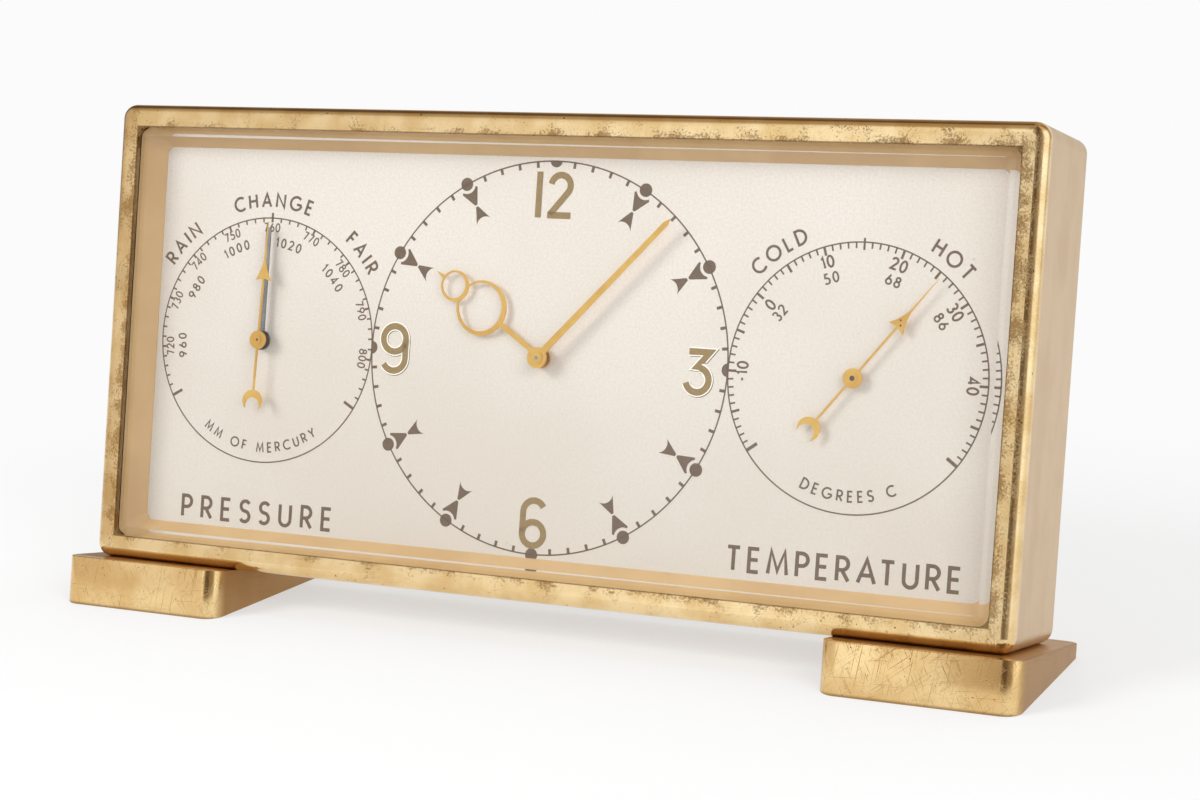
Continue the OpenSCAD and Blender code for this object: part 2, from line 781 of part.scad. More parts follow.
// Round posts that hold the dial against the glass when the cover is screwed down
module distance_posts() {
    color("#b8b4a8") in_case()
        for (x = [-1, 1], z = [-1, 1])
            rod([x * (cavity_w / 2 - post_inset / 2), z * (cavity_h / 2 - post_inset / 2)],
                post_r, dial_back, cover_y);
}
module back_cover() {
    color("#c2a35e") in_case() difference() {
        slab(cover_y, case_d)
            round_rect(cover_w - 2 * cover_fit, cover_h - 2 * cover_fit, cavity_r - cover_fit);
        for (x = cover_screw_xs, z = [-1, 1])
            rod([x, z * cover_screw_z], cover_screw_r + run, cover_y - over, case_d + over);
        rod(barrel_at, key_pipe_r + fit, cover_y - over, case_d + over);
        rod(setting_at, setting_arbor_r + fit, cover_y - over, case_d + over);
        rod(set_knob_at, setting_arbor_r + fit, cover_y - over, case_d + over);
        rod(barometer_at, adjust_hole_r, cover_y - over, case_d + over);
    }
}
module cover_screws() {
    color("#a8a8a4") in_case() for (x = cover_screw_xs, z = [-1, 1])
        screw([x, z * cover_screw_z], case_d + cover_head_t, cover_head_r, cover_head_t,
              cover_screw_r, cover_t + cover_screw_l * screw_fill_share);
}

// A foot: a wedge with upright rounded corners, its top flat against the case
module foot(side) {
    color("#c9a552") in_case() difference() {
        intersection() {
            translate([side * foot_x, foot_l / 2 - foot_ahead, -case_h / 2 - foot_h])
                linear_extrude(height = foot_h) round_rect(foot_w, foot_l, foot_corner_r);
            translate([side * foot_x - foot_w / 2 - over, 0, -case_h / 2]) rotate([90, 0, 90])
                linear_extrude(height = foot_w + 2 * over) polygon([
                    [-foot_ahead, 0], [foot_l - foot_ahead, 0],
                    [foot_l - foot_ahead, -foot_rear_h], [-foot_ahead, -foot_h]]);
        }
        for (y = foot_screw_ys) translate([side * foot_x, y, -case_h / 2]) {
            translate([0, 0, -foot_h]) cylinder(r = foot_screw_r + run, h = foot_h + over);
            translate([0, 0, -foot_h - foot_seat(y)]) cylinder(r = foot_head_r + run, h = foot_h);
        }
    }
}
// Height of the screw head's seat below the foot's top, at the depth y
function foot_seat(y) = (foot_h - (y + foot_ahead) * tan(lean)) * seat_share;
module left_foot() {
    foot(-1);
}
module right_foot() {
    foot(1);
}
module foot_screws() {
    color("#a8a8a4") in_case() for (side = [-1, 1], y = foot_screw_ys)
        translate([side * foot_x, y, -case_h / 2]) {
            translate([0, 0, -foot_seat(y)]) cylinder(r = foot_screw_r, h = foot_seat(y) + foot_thread_l);
            translate([0, 0, -foot_seat(y) - foot_head_t]) difference() {
                cylinder(r = foot_head_r, h = foot_head_t);
                translate([-foot_head_r - over, -slot_w / 2, -over])
                    cube([2 * (foot_head_r + over), slot_w, over + slot_d]);
            }
        }
}

// The movement's plates and pillars
pillar_xs = [plate_at[0] - plate_w / 2 + pillar_inset, plate_at[0] + plate_w / 2 - pillar_inset];
pillar_zs = [plate_at[1] - plate_h / 2 + pillar_inset, plate_at[1] + plate_h / 2 - pillar_inset];
module plate_outline() {
    translate(plate_at) round_rect(plate_w, plate_h, plate_corner_r);
}
module pivot_holes(from_y, to_y) {
    for (at = [inter_at, third_at, fourth_at, escape_at, fork_at])
        rod(at, pivot_r + run, from_y, to_y);
    rod(barrel_at, barrel_pivot_r + run, from_y, to_y);
    rod(centre_at, arbor_end_r + run, from_y, to_y);
    rod(setting_at, setting_arbor_r + run, from_y, to_y);
}
module front_plate() {
    color("#cdb06a") in_case() {
        difference() {
            slab(front_plate_y, train_y) plate_outline();
            pivot_holes(front_plate_y - over, train_y + over);
            rod(balance_at, jewel_r, front_plate_y - over, train_y + over);
        }
        rod(minute_at, arbor_end_r, hour_wheel_y, front_plate_y);
    }
}
module back_plate() {
    color("#cdb06a") in_case() {
        difference() {
            slab(back_plate_y, movement_back) plate_outline();
            pivot_holes(back_plate_y - over, movement_back + over);
            rod(balance_at, balance_r + balance_gap, back_plate_y - over, movement_back + over);
            for (x = pillar_xs, z = pillar_zs)
                rod([x, z], pillar_screw_r + run, back_plate_y - over, movement_back + over);
            rod(cock_foot_at, pillar_screw_r, back_plate_y - over, movement_back + over);
        }
        rod(click_at, click_stud_r, movement_back, ratchet_y + ratchet_t);
    }
}
module plate_pillars() {
    color("#bfa262") in_case() for (x = pillar_xs, z = pillar_zs) difference() {
        rod([x, z], pillar_r, train_y, back_plate_y);
        rod([x, z], pillar_screw_r, back_plate_y - pillar_screw_l, back_plate_y + over);
    }
}
module movement_screws() {
    color("#6f7480") in_case() {
        for (x = pillar_xs, z = pillar_zs)
            screw([x, z], movement_back + screw_head_t, screw_head_r, screw_head_t,
                  pillar_screw_r, plate_t + pillar_screw_l * screw_fill_share);
        screw(cock_foot_at, cock_y + cock_t + screw_head_t, screw_head_r, screw_head_t,
              pillar_screw_r, cock_t + cock_y - movement_back + plate_t * screw_fill_share);
    }
}

// The going barrel with its spring, arbor and ratchet
barrel_front = train_y + barrel_level;
barrel_back = barrel_front + barrel_d;
barrel_out_r = (barrel_n / 2 - dedendum_share) * barrel_m;
barrel_in_r = barrel_out_r - barrel_wall;
module mainspring_barrel() {
    color("#c9ab60") in_case() difference() {
        union() {
            slab(barrel_front, barrel_front + barrel_rim_t) translate(barrel_at)
                gear_shape(barrel_n, barrel_m, barrel_phase);
            rod(barrel_at, barrel_out_r, barrel_front + barrel_rim_t, barrel_back);
        }
        rod(barrel_at, barrel_pivot_r + run, barrel_front - over, barrel_back + over);
        rod(barrel_at, barrel_in_r, barrel_front + barrel_lid_t, barrel_back + over);
    }
}
module barrel_lid() {
    color("#c9ab60") in_case() slab(barrel_back - barrel_lid_t, barrel_back) translate(barrel_at)
        ring(barrel_in_r, barrel_pivot_r + run);
}
spring_front = barrel_front + barrel_lid_t + shake;
spring_back = barrel_back - barrel_lid_t - shake;
spring_in_r = barrel_core_r + run;
spring_pitch = (barrel_in_r - run - spring_t - spring_in_r) / spring_turns;
module mainspring() {
    color("#5f6470") in_case() slab(spring_front, spring_back) translate(barrel_at)
        polygon(spiral_points(spring_in_r, spring_pitch, spring_turns, spring_t));
}
module barrel_arbor() {
    color("#8e9196") in_case() {
        rod(barrel_at, barrel_core_r, spring_front, spring_back);
        rod(barrel_at, barrel_pivot_r, front_plate_y + shake, ratchet_y);
        slab(ratchet_y, key_y + knob_d / 2) translate(barrel_at)
            square(barrel_square_w, center = true);
    }
}
ratchet_root_r = ratchet_r * ratchet_root_share;
ratchet_pitch = 360 / ratchet_n;
module ratchet_wheel() {
    color("#9a9ea6") in_case() slab(ratchet_y, ratchet_y + ratchet_t) translate(barrel_at)
        difference() {
            polygon([for (i = [0:ratchet_n - 1]) each [
                polar(ratchet_r, click_base - ratchet_pitch * i),
                polar(ratchet_root_r, click_base - ratchet_pitch * (i + ratchet_slope_share))]]);
            square(barrel_square_w, center = true);
        }
}
// The click's beak sits in a gap of the ratchet wheel, and its arm runs outside the teeth
function click_polar(radius_share, pitch_share) =
    polar(ratchet_r * radius_share, click_base - ratchet_pitch * pitch_share);
click_pivot_a = click_base - ratchet_pitch * click_pitch_shares[1] - click_pivot_turn;
click_at = barrel_at + polar(click_pivot_l, click_pivot_a);
click_heel = click_polar(click_arm_share, click_pitch_shares[1]);
click_along = click_heel - polar(click_pivot_l, click_pivot_a);
click_angle = atan2(click_along[1], click_along[0]);
module click() {
    color("#8a8e96") in_case() slab(ratchet_y, ratchet_y + ratchet_t) difference() {
        union() {
            translate(barrel_at) polygon([
                click_polar(click_radius_shares[0], click_pitch_shares[0]),
                click_polar(click_radius_shares[1], click_pitch_shares[1]),
                click_polar(click_radius_shares[2], click_pitch_shares[2]),
                click_polar(click_radius_shares[0], click_pitch_shares[2])]);
            translate(click_at) rotate(click_angle) translate([0, -click_arm_w / 2])
                square([norm(click_along), click_arm_w]);
            translate(click_at) circle(r = click_w / 2);
            translate(click_at) rotate(click_angle + 180) translate([0, -click_arm_w / 2])
                square([click_tail_l, click_arm_w]);
        }
        translate(click_at) circle(r = click_stud_r + run);
    }
}
// A flat spring beside the click's tail, held by a foot on the plate
click_tail_end = click_at - polar(click_tail_l, click_angle);
module click_spring() {
    color("#5f6470") in_case() {
        slab(ratchet_y, ratchet_y + ratchet_t) translate(click_tail_end) rotate(click_angle)
            translate([-click_spring_l, -click_arm_w / 2 - run - click_spring_w])
                square([click_spring_l + click_tail_l / 2, click_spring_w]);
        rod(click_tail_end + polar(-click_spring_l, click_angle)
            + polar(click_arm_w / 2 + run + click_spring_w / 2, click_angle - 90),
            click_stud_r, movement_back, ratchet_y + ratchet_t);
    }
}
module winding_key() {
    color("#c8a455") in_case() {
        difference() {
            rod(barrel_at, key_pipe_r, cover_y - over, key_y + knob_d);
            slab(cover_y - 2 * over, key_y + knob_d / 2) translate(barrel_at)
                square(barrel_square_w, center = true);
        }
        for (side = [-1, 1]) difference() {
            translate([barrel_at[0], 0, barrel_at[1] - key_wing_t / 2])
                linear_extrude(height = key_wing_t) difference() {
                    union() {
                        translate([side * (key_w / 2 - key_wing_r), key_y + knob_d / 2])
                            circle(r = key_wing_r);
                        translate([side * key_w / 4, key_y + knob_d / 2])
                            square([key_w / 2 - key_wing_r, key_pipe_r], center = true);
                    }
                    translate([side * (key_w / 2 - key_wing_r), key_y + knob_d / 2])
                        circle(r = key_hole_r);
                }
            rod(barrel_at, key_pipe_r, cover_y, key_y + knob_d + over);
        }
    }
}

// The wheel train
module intermediate_wheel() {
    color("#d0b268") in_case() train_piece(inter_at, inter_n, inter_m, inter_phase, inter_level,
        inter_pinion_n, barrel_m, inter_pinion_phase, inter_pinion_level);
}
module centre_wheel() {
    color("#d0b268") in_case() {
        rod(centre_at, arbor_r + pivot_r, train_y + shake, back_plate_y - shake);
        rod(centre_at, arbor_end_r, minute_hand_y - shake, train_y + shake);
        rod(centre_at, arbor_end_r, back_plate_y - shake, movement_back - shake);
        slab(train_y + centre_level, train_y + centre_level + wheel_t)
            wheel_shape(centre_n, centre_m, 0, wheel_boss_r, wheel_rim_w, 5);
        slab(train_y + centre_pinion_level, train_y + centre_pinion_level + pinion_t)
            gear_shape(centre_pinion_n, inter_m, 0);
    }
}
module third_wheel() {
    color("#d0b268") in_case() train_piece(third_at, third_n, third_m, 0, third_level,
        third_pinion_n, centre_m, third_pinion_phase, third_pinion_level);
}
module fourth_wheel() {
    color("#d0b268") in_case() train_piece(fourth_at, fourth_n, fourth_m, 0, fourth_level,
        fourth_pinion_n, third_m, fourth_pinion_phase, fourth_pinion_level);
}
// Direction from the escape wheel's axis in which the entry stone's locking corner lies
entry_dir = fork_dir - stone_half_span;
exit_dir = fork_dir + stone_half_span;
module escape_wheel() {
    pitch = 360 / escape_teeth;
    color("#b9bcc2") in_case() {
        plain_arbor(escape_at);
        slab(train_y + escape_level, train_y + escape_level + stone_t) translate(escape_at)
            difference() {
                union() {
                    circle(r = escape_root_r);
                    for (i = [0:escape_teeth - 1]) rotate(entry_dir + tooth_phase + pitch * i)
                        polygon([
                            polar(escape_r, 0), polar(escape_r, -tooth_tip_angle),
                            polar(escape_root_r, -tooth_lean - tooth_foot_angle),
                            polar(escape_rim_r, -tooth_lean), polar(escape_root_r, -tooth_lean)]);
                }
                spoke_windows(2 * arbor_r, escape_rim_r, 4);
            }
        slab(train_y + escape_pinion_level, train_y + escape_pinion_level + pinion_t)
            translate(escape_at) gear_shape(escape_pinion_n, fourth_m, escape_pinion_phase);
    }
}
// The fork: an arm to each stone, and a straight lever with a notch for the impulse jewel
fork_y = train_y + escape_level - (fork_t - stone_t) / 2;
stone_tip_r = escape_r + stone_clear;
module stone_shape(dir, grow) {
    rotate(dir + stone_angle / 2) translate([stone_tip_r, -stone_w / 2 - grow])
        square([stone_l + grow, stone_w + 2 * grow]);
}
module pallet_fork() {
    lever_l = fork_l - pin_orbit_r + notch_l / 2;
    color("#a9adb4") in_case() {
        rod(fork_at, arbor_r, train_y + shake, back_plate_y - shake);
        rod(fork_at, pivot_r, front_plate_y + shake, train_y + shake);
        rod(fork_at, pivot_r, back_plate_y - shake, movement_back - shake);
        slab(fork_y, fork_y + fork_t) difference() {
            union() {
                translate(fork_at) circle(r = fork_boss_r + arbor_r / 2);
                translate(fork_at) rotate(fork_dir) translate([0, -fork_w / 2])
                    square([lever_l, fork_w]);
                for (dir = [entry_dir, exit_dir])
                    arm_to(fork_at,
                           escape_at + polar(stone_tip_r + stone_l * stone_hold_shares[1],
                                             dir + stone_angle / 2));
            }
            translate(escape_at) circle(r = stone_tip_r + stone_l * stone_hold_shares[0]);
            for (dir = [entry_dir, exit_dir]) translate(escape_at) stone_shape(dir, 0);
            translate(fork_at) rotate(fork_dir) translate([lever_l - notch_l, -notch_w / 2])
                square([notch_l + over, notch_w]);
        }
    }
}
module arm_to(from, to) {
    along = to - from;
    translate(from) rotate(atan2(along[1], along[0])) translate([0, -fork_w])
        square([norm(along) + fork_end_l, 2 * fork_w]);
}
module pallet_stones() {
    color("#b0122a") in_case() slab(train_y + escape_level, train_y + escape_level + stone_t)
        translate(escape_at) for (dir = [entry_dir, exit_dir]) stone_shape(dir, 0);
}
// The balance: a two-armed wheel on its staff, with the roller and the hairspring's collet
module balance_wheel() {
    color("#d6b35c") in_case() difference() {
        union() {
            rod(balance_at, staff_r, train_y + shake, cock_y - shake);
            rod(balance_at, staff_pivot_r, train_y - jewel_t, cock_y + jewel_t);
            rod(balance_at, roller_r, fork_y + fork_t + shake, fork_y + fork_t + shake + roller_t);
            rod(balance_at, hairspring_in_r - run, hairspring_y, hairspring_y + hairspring_t);
            slab(balance_y, balance_y + balance_t) translate(balance_at) {
                ring(balance_r, balance_r - balance_rim_w);
                circle(r = 2 * staff_r);
                rotate(balance_rest)
                    square([2 * balance_r - balance_rim_w, 2 * spoke_w], center = true);
            }
        }
        rod(impulse_at, impulse_r, fork_y - over, fork_y + fork_t + shake + roller_t + over);
    }
}
impulse_at = balance_at + polar(pin_orbit_r, fork_dir + 180 - balance_rest);
module impulse_jewel() {
    color("#b0122a") in_case()
        rod(impulse_at, impulse_r, fork_y, fork_y + fork_t + shake + roller_t);
}
module hairspring() {
    color("#4c5a86") in_case() slab(hairspring_y, hairspring_y + hairspring_t)
        translate(balance_at) rotate(cock_dir) polygon(spiral_points(
            hairspring_in_r, hairspring_pitch, hairspring_turns, hairspring_w));
}
hairspring_stud_at = hairspring_in_r + hairspring_pitch * hairspring_turns + hairspring_w
                     + stud_gap + stud_r;
cock_foot_at = balance_at + polar(cock_foot_l, cock_dir);
module balance_cock() {
    color("#cdb06a") in_case() {
        slab(cock_y, cock_y + cock_t) difference() {
            union() {
                translate(balance_at) circle(r = cock_w / 2);
                translate(balance_at) rotate(cock_dir) translate([0, -cock_w / 2])
                    square([cock_foot_l, cock_w]);
                translate(cock_foot_at) circle(r = cock_w / 2);
            }
            translate(balance_at) circle(r = jewel_r);
            translate(cock_foot_at) circle(r = pillar_screw_r + run);
        }
        slab(movement_back, cock_y) translate(cock_foot_at)
            ring(cock_w / 2, pillar_screw_r + run);
        rod(balance_at + polar(hairspring_stud_at, cock_dir), stud_r, hairspring_y, cock_y);
    }
}
// Two pierced jewels that carry the staff's pivots, and two plain cap jewels behind them
module balance_jewels() {
    color("#b0122a") in_case() for (y = [train_y - jewel_t, cock_y]) {
        slab(y, y + jewel_t) translate(balance_at) ring(jewel_r, staff_pivot_r + run);
        slab(y == cock_y ? y + jewel_t : y - jewel_t, y == cock_y ? y + 2 * jewel_t : y)
            translate(balance_at) circle(r = jewel_r);
    }
}

// Motion work: the cannon pinion carries the minute hand and drives the hour wheel by the minute wheel
motion_t = front_plate_y - shake - motion_y;
module cannon_pinion() {
    color("#a9adb4") in_case() difference() {
        union() {
            slab(motion_y, motion_y + motion_t) gear_shape(cannon_n, minute_m, 0);
            rod(centre_at, cannon_r, minute_hand_y, motion_y);
        }
        rod(centre_at, arbor_end_r + run, minute_hand_y - over, front_plate_y);
    }
}
module minute_wheel() {
    color("#d0b268") in_case() difference() {
        union() {
            slab(motion_y, motion_y + motion_t) translate(minute_at)
                wheel_shape(minute_n, minute_m, minute_phase, 3 * cannon_r, spoke_w, 4);
            slab(hour_wheel_y, motion_y) translate(minute_at)
                gear_shape(minute_pinion_n, hour_m, 0);
        }
        rod(minute_at, arbor_end_r + run, hour_wheel_y - over, front_plate_y);
    }
}
module hour_wheel() {
    color("#d0b268") in_case() difference() {
        union() {
            slab(hour_wheel_y, motion_y - shake)
                wheel_shape(hour_n, hour_m, hour_phase, 2 * hour_pipe_r, 2 * spoke_w, 5);
            rod(centre_at, hour_pipe_r, hour_hand_y, motion_y - shake);
        }
        rod(centre_at, cannon_r + run, hour_hand_y - over, motion_y);
    }
}
// Hands are drawn pointing up and turned clockwise to their angle
module hand(at, angle, front_y) {
    slab(front_y, front_y + hand_t) translate(at) rotate(-angle) children();
}
module hour_hand_shape() {
    translate([-hour_arm_w / 2, 0])
        square([hour_arm_w, hour_ring_at - hour_ring_hole_r]);
    translate([0, hour_ring_at]) difference() {
        circle(r = hour_hand_ring_r);
        translate([0, hour_ring_shift]) circle(r = hour_ring_hole_r);
        translate([0, hour_small_at - hour_ring_at + hour_small_shift])
            circle(r = hour_small_hole_r);
    }
    translate([0, hour_small_at]) difference() {
        circle(r = hour_small_r);
        translate([0, hour_small_shift]) circle(r = hour_small_hole_r);
    }
    polygon([[-hour_point_w / 2, hour_small_at + hour_small_shift + hour_small_hole_r], [0, hour_l],
             [hour_point_w / 2, hour_small_at + hour_small_shift + hour_small_hole_r]]);
}
module hour_hand() {
    color("#e0b04a") in_case() difference() {
        union() {
            hand(centre_at, hour_angle, hour_hand_y) {
                circle(r = hub_r);
                hour_hand_shape();
            }
            rod(centre_at, hub_r - hub_step, hour_hand_y, hour_hand_y + hub_t);
        }
        rod(centre_at, hour_pipe_r, hour_hand_y - over, hour_hand_y + hub_t + over);
    }
}
module minute_hand() {
    color("#e0b04a") in_case() difference() {
        union() {
            hand(centre_at, minute_angle, minute_hand_y) {
                circle(r = hub_r);
                polygon([[-minute_w / 2, 0], [-minute_tip_w / 2, minute_l - minute_point_l],
                         [0, minute_l], [minute_tip_w / 2, minute_l - minute_point_l],
                         [minute_w / 2, 0]]);
            }
            rod(centre_at, hub_r - hub_step, minute_hand_y, minute_hand_y + hub_t);
        }
        rod(centre_at, cannon_r, minute_hand_y - over, minute_hand_y + hub_t + over);
    }
}
module setting_arbor() {
    color("#a9adb4") in_case() {
        slab(motion_y, motion_y + motion_t) translate(setting_at)
            gear_shape(cannon_n, minute_m, setting_phase);
        rod(setting_at, setting_arbor_r, motion_y, knob_back);
    }
}
module setting_knob() {
    color("#c8a455") in_case() knob(setting_at);
}

// Barometer works
baro_pillars_at = [for (a = baro_pillar_dirs) barometer_at + polar(baro_pillar_l, a)];
rocking_z = sector_at[1] - sector_pin_r - finger_tip_r - pin_gap;
baro_stud_at = baro_spring_in_r + baro_spring_pitch * baro_spring_turns + baro_spring_w
               + stud_gap + stud_r;
module works_plate_shape() {
    translate(barometer_at) circle(r = baro_plate_r);
    translate(set_knob_at) circle(r = lug_r);
}
module barometer_plate() {
    bearing_t = 1.2;
    color("#cdb06a") in_case() difference() {
        union() {
            slab(baro_plate_y, baro_back) works_plate_shape();
            slab(bridge_y, bridge_y + bridge_t) translate(barometer_at) rotate(bridge_dir) {
                translate([0, -bridge_w / 2]) square([bridge_l, bridge_w]);
                circle(r = bridge_w / 2);
                translate([bridge_l, 0]) circle(r = bridge_w / 2);
            }
            rod(barometer_at + polar(bridge_l, bridge_dir), bridge_w / 3, baro_back, bridge_y);
            rod(barometer_at + [baro_stud_at, 0], stud_r, baro_back,
                baro_spring_y + baro_spring_t);
            for (at = baro_pillars_at) rod(at, baro_pillar_r, dial_back, baro_plate_y);
            for (x = [-rocking_left - bearing_t, rocking_right])
                translate([barometer_at[0] + x, baro_back, rocking_z - 2 * rocking_r])
                    cube([bearing_t, rocking_y + 2 * rocking_r - baro_back, 4 * rocking_r]);
        }
        rod(barometer_at, set_pipe_r + run, baro_plate_y - over, baro_back + over);
        rod(set_knob_at, setting_arbor_r + run, baro_plate_y - over, baro_back + over);
        rod(sector_at, pivot_r + run, baro_plate_y - over, baro_back + over);
        rod(barometer_at, pivot_r + run, bridge_y - over, bridge_y + bridge_t + over);
        translate([barometer_at[0] - rocking_left - 2 * bearing_t, rocking_y, rocking_z])
            rotate([0, 90, 0])
                cylinder(r = pivot_r + run, h = rocking_left + rocking_right + 4 * bearing_t);
    }
}
module capsule_plate() {
    color("#cdb06a") in_case() difference() {
        slab(capsule_plate_y, capsule_plate_y + capsule_plate_t) works_plate_shape();
        rod(barometer_at, adjust_screw_r, capsule_plate_y - over,
            capsule_plate_y + capsule_plate_t + over);
        rod(set_knob_at, setting_arbor_r + fit, capsule_plate_y - over,
            capsule_plate_y + capsule_plate_t + over);
    }
}
module barometer_pillars() {
    color("#bfa262") in_case() for (at = baro_pillars_at)
        rod(at, baro_pillar_r, baro_back, capsule_plate_y);
}
// The capsule: a sealed box with ring-shaped ridges, a boss that the post slides out of, and the
// slotted stud behind it that sets its height
module aneroid_capsule() {
    groove = capsule_r / (2 * capsule_ridges + 1);
    color("#c9c2a2") in_case() {
        screw(barometer_at, capsule_plate_y + capsule_plate_t + adjust_head_t, adjust_screw_r,
              adjust_head_t, adjust_screw_r, capsule_plate_t + capsule_sink);
        capsule_body(groove);
    }
}
module capsule_body(groove) {
    spun(barometer_at) difference() {
        union() {
            translate([0, capsule_y]) square([capsule_r, capsule_t]);
            for (i = [1:capsule_ridges]) translate([groove * (2 * i - 1), capsule_y - capsule_ridge_h])
                square([groove, capsule_ridge_h]);
            translate([0, capsule_y - capsule_boss_t]) square([capsule_boss_r, capsule_boss_t]);
        }
        translate([0, capsule_y - capsule_boss_t])
            square([capsule_post_r + run, capsule_boss_t + capsule_t / 2]);
    }
}
post_tip_y = rocking_y + rocking_arm_t / 2 + rocking_gap;
module capsule_post() {
    color("#a9adb4") in_case()
        rod(barometer_at, capsule_post_r, post_tip_y, capsule_y + post_l / 2);
}
// A shaft across the works: one arm lies on the capsule's post, a finger pushes the sector's tail
tail_at = sector_at + [sector_tail_l, 0];
module rocking_lever() {
    arm_x = barometer_at[0] - rocking_arm_w / 2;
    color("#a9adb4") in_case() {
        translate([barometer_at[0] - rocking_left + shake, rocking_y, rocking_z])
            rotate([0, 90, 0]) cylinder(r = rocking_r, h = rocking_left + rocking_right - 2 * shake);
        translate([barometer_at[0] - rocking_left - rocking_pivot_l, rocking_y, rocking_z])
            rotate([0, 90, 0])
                cylinder(r = pivot_r, h = rocking_left + rocking_right + 2 * rocking_pivot_l);
        translate([arm_x, rocking_y - rocking_arm_t / 2, rocking_z])
            cube([rocking_arm_w, rocking_arm_t, barometer_at[1] - rocking_z + rocking_arm_w / 2]);
        translate([tail_at[0] - finger_tip_w / 2, rocking_y - finger_l, rocking_z - finger_w / 2])
            cube([finger_tip_w, finger_l, finger_w]);
        translate([tail_at[0] - finger_tip_w / 2, rocking_y - finger_l, rocking_z])
            rotate([0, 90, 0]) cylinder(r = finger_tip_r, h = finger_tip_w);
    }
}
module sector_lever() {
    rim_r = (sector_n / 2 - dedendum_share) * sector_m;
    half = 360 / sector_n * sector_teeth / 2;
    color("#d0b268") in_case() {
        slab(sector_y, sector_y + sector_t) translate(sector_at) {
            intersection() {
                difference() {
                    gear_shape(sector_n, sector_m, sector_phase);
                    circle(r = rim_r - sector_rim_w);
                }
                polygon([[0, 0], polar(2 * rim_r, sector_phase - half),
                         polar(2 * rim_r, sector_phase + half)]);
            }
            for (a = [-half, half]) rotate(sector_phase + a * sector_spoke_share) translate([0, -spoke_w / 2])
                square([rim_r - sector_rim_w / 2, spoke_w]);
            circle(r = 2 * arbor_r);
            translate([0, -spoke_w]) square([sector_tail_l, 2 * spoke_w]);
        }
        rod(sector_at, pivot_r, baro_plate_y + shake, sector_y);
        rod(tail_at, sector_pin_r, sector_y, sector_y + sector_t + sector_pin_l);
    }
}
baro_pinion_t = sector_t + 2 * shake;
module barometer_arbor() {
    color("#a9adb4") in_case() {
        rod(barometer_at, side_arbor_r, barometer_hand_y - shake, bridge_y - shake);
        rod(barometer_at, pivot_r, bridge_y - shake, bridge_y + bridge_t);
        rod(barometer_at, baro_spring_in_r - run, baro_spring_y, baro_spring_y + baro_spring_t);
        slab(sector_y - shake, sector_y - shake + baro_pinion_t) translate(barometer_at)
            gear_shape(baro_pinion_n, sector_m, baro_pinion_phase);
    }
}
module barometer_hairspring() {
    color("#4c5a86") in_case() slab(baro_spring_y, baro_spring_y + baro_spring_t)
        translate(barometer_at) polygon(spiral_points(baro_spring_in_r, baro_spring_pitch,
                                                      baro_spring_turns, baro_spring_w));
}
// One hollow side of the arrowhead: from the barb to the thin line for side 1, back for side -1
function arrow_side(side) =
    let (barb_at = arrow_at - arrow_notch,
         points = concat([for (share = arrow_waist_shares)
                             [side * arrow_half_w * share[0], barb_at + arrow_l * share[1]]],
                         [[side * side_line_w / 2, barb_at + arrow_l]]))
    side > 0 ? points : [for (i = [len(points) - 1:-1:0]) points[i]];
module side_hand_shape() {
    translate([-side_line_w / 2, -crescent_at + crescent_r / 2])
        square([side_line_w, arrow_at + crescent_at]);
    polygon(concat([[0, arrow_at]], arrow_side(1), [[0, side_hand_l]], arrow_side(-1)));
    translate([0, -crescent_at]) difference() {
        circle(r = crescent_r);
        translate([0, -crescent_shift]) circle(r = crescent_hole_r);
    }
}
module side_hand(at, angle, front_y) {
    color("#e0b04a") in_case() difference() {
        union() {
            hand(at, angle, front_y) {
                circle(r = side_hub_r);
                side_hand_shape();
            }
            rod(at, side_boss_r, front_y, front_y + hub_t);
        }
        rod(at, side_arbor_r, front_y - over, front_y + hub_t + over);
    }
}
module barometer_hand() {
    side_hand(barometer_at, barometer_angle, barometer_hand_y);
}
module set_hand() {
    color("#8f9094") in_case() difference() {
        hand(barometer_at, set_angle, set_hand_y) {
            circle(r = set_boss_r);
            translate([-set_bar_w / 2, 0]) square([set_bar_w, set_hand_l]);
        }
        rod(barometer_at, set_pipe_r, set_hand_y - over, set_hand_y + hand_t + over);
    }
}
module set_hand_wheel() {
    color("#d0b268") in_case() difference() {
        union() {
            slab(set_wheel_y, set_wheel_y + set_wheel_t) translate(barometer_at)
                gear_shape(set_wheel_n, set_m, 0);
            rod(barometer_at, set_pipe_r, set_hand_y, baro_back - shake);
        }
        rod(barometer_at, side_arbor_r + run, set_hand_y - over, baro_back);
    }
}
module set_hand_knob() {
    color("#c8a455") in_case() {
        slab(set_wheel_y, set_wheel_y + set_wheel_t) translate(set_knob_at)
            gear_shape(set_pinion_n, set_m, set_phase);
        rod(set_knob_at, setting_arbor_r, set_wheel_y, knob_back);
        knob(set_knob_at);
    }
}

// Thermometer works: a bimetal coil between the arbor and a stud on the bracket's post
coil_in_r = thermo_collet_r + run;
coil_pitch = (bimetal_r - coil_in_r - thermo_strip_t) / thermo_turns;
module thermometer_bracket() {
    color("#cdb06a") in_case() {
        difference() {
            slab(bracket_y, bracket_y + bracket_t) translate(thermometer_at) circle(r = bracket_r);
            rod(thermometer_at, pivot_r + run, bracket_y - over, bracket_y + bracket_t + over);
        }
        for (a = [60, 180, 300])
            rod(thermometer_at + polar(thermo_post_l, a), thermo_post_r,
                dial_back, bracket_y);
        rod(thermometer_at + [bimetal_r + thermo_stud_r, 0], thermo_stud_r, thermo_coil_y, bracket_y);
    }
}
module bimetal_coil() {
    color("#b98a5e") in_case() slab(thermo_coil_y, thermo_coil_y + thermo_coil_d)
        translate(thermometer_at)
            polygon(spiral_points(coil_in_r, coil_pitch, thermo_turns, thermo_strip_t));
}
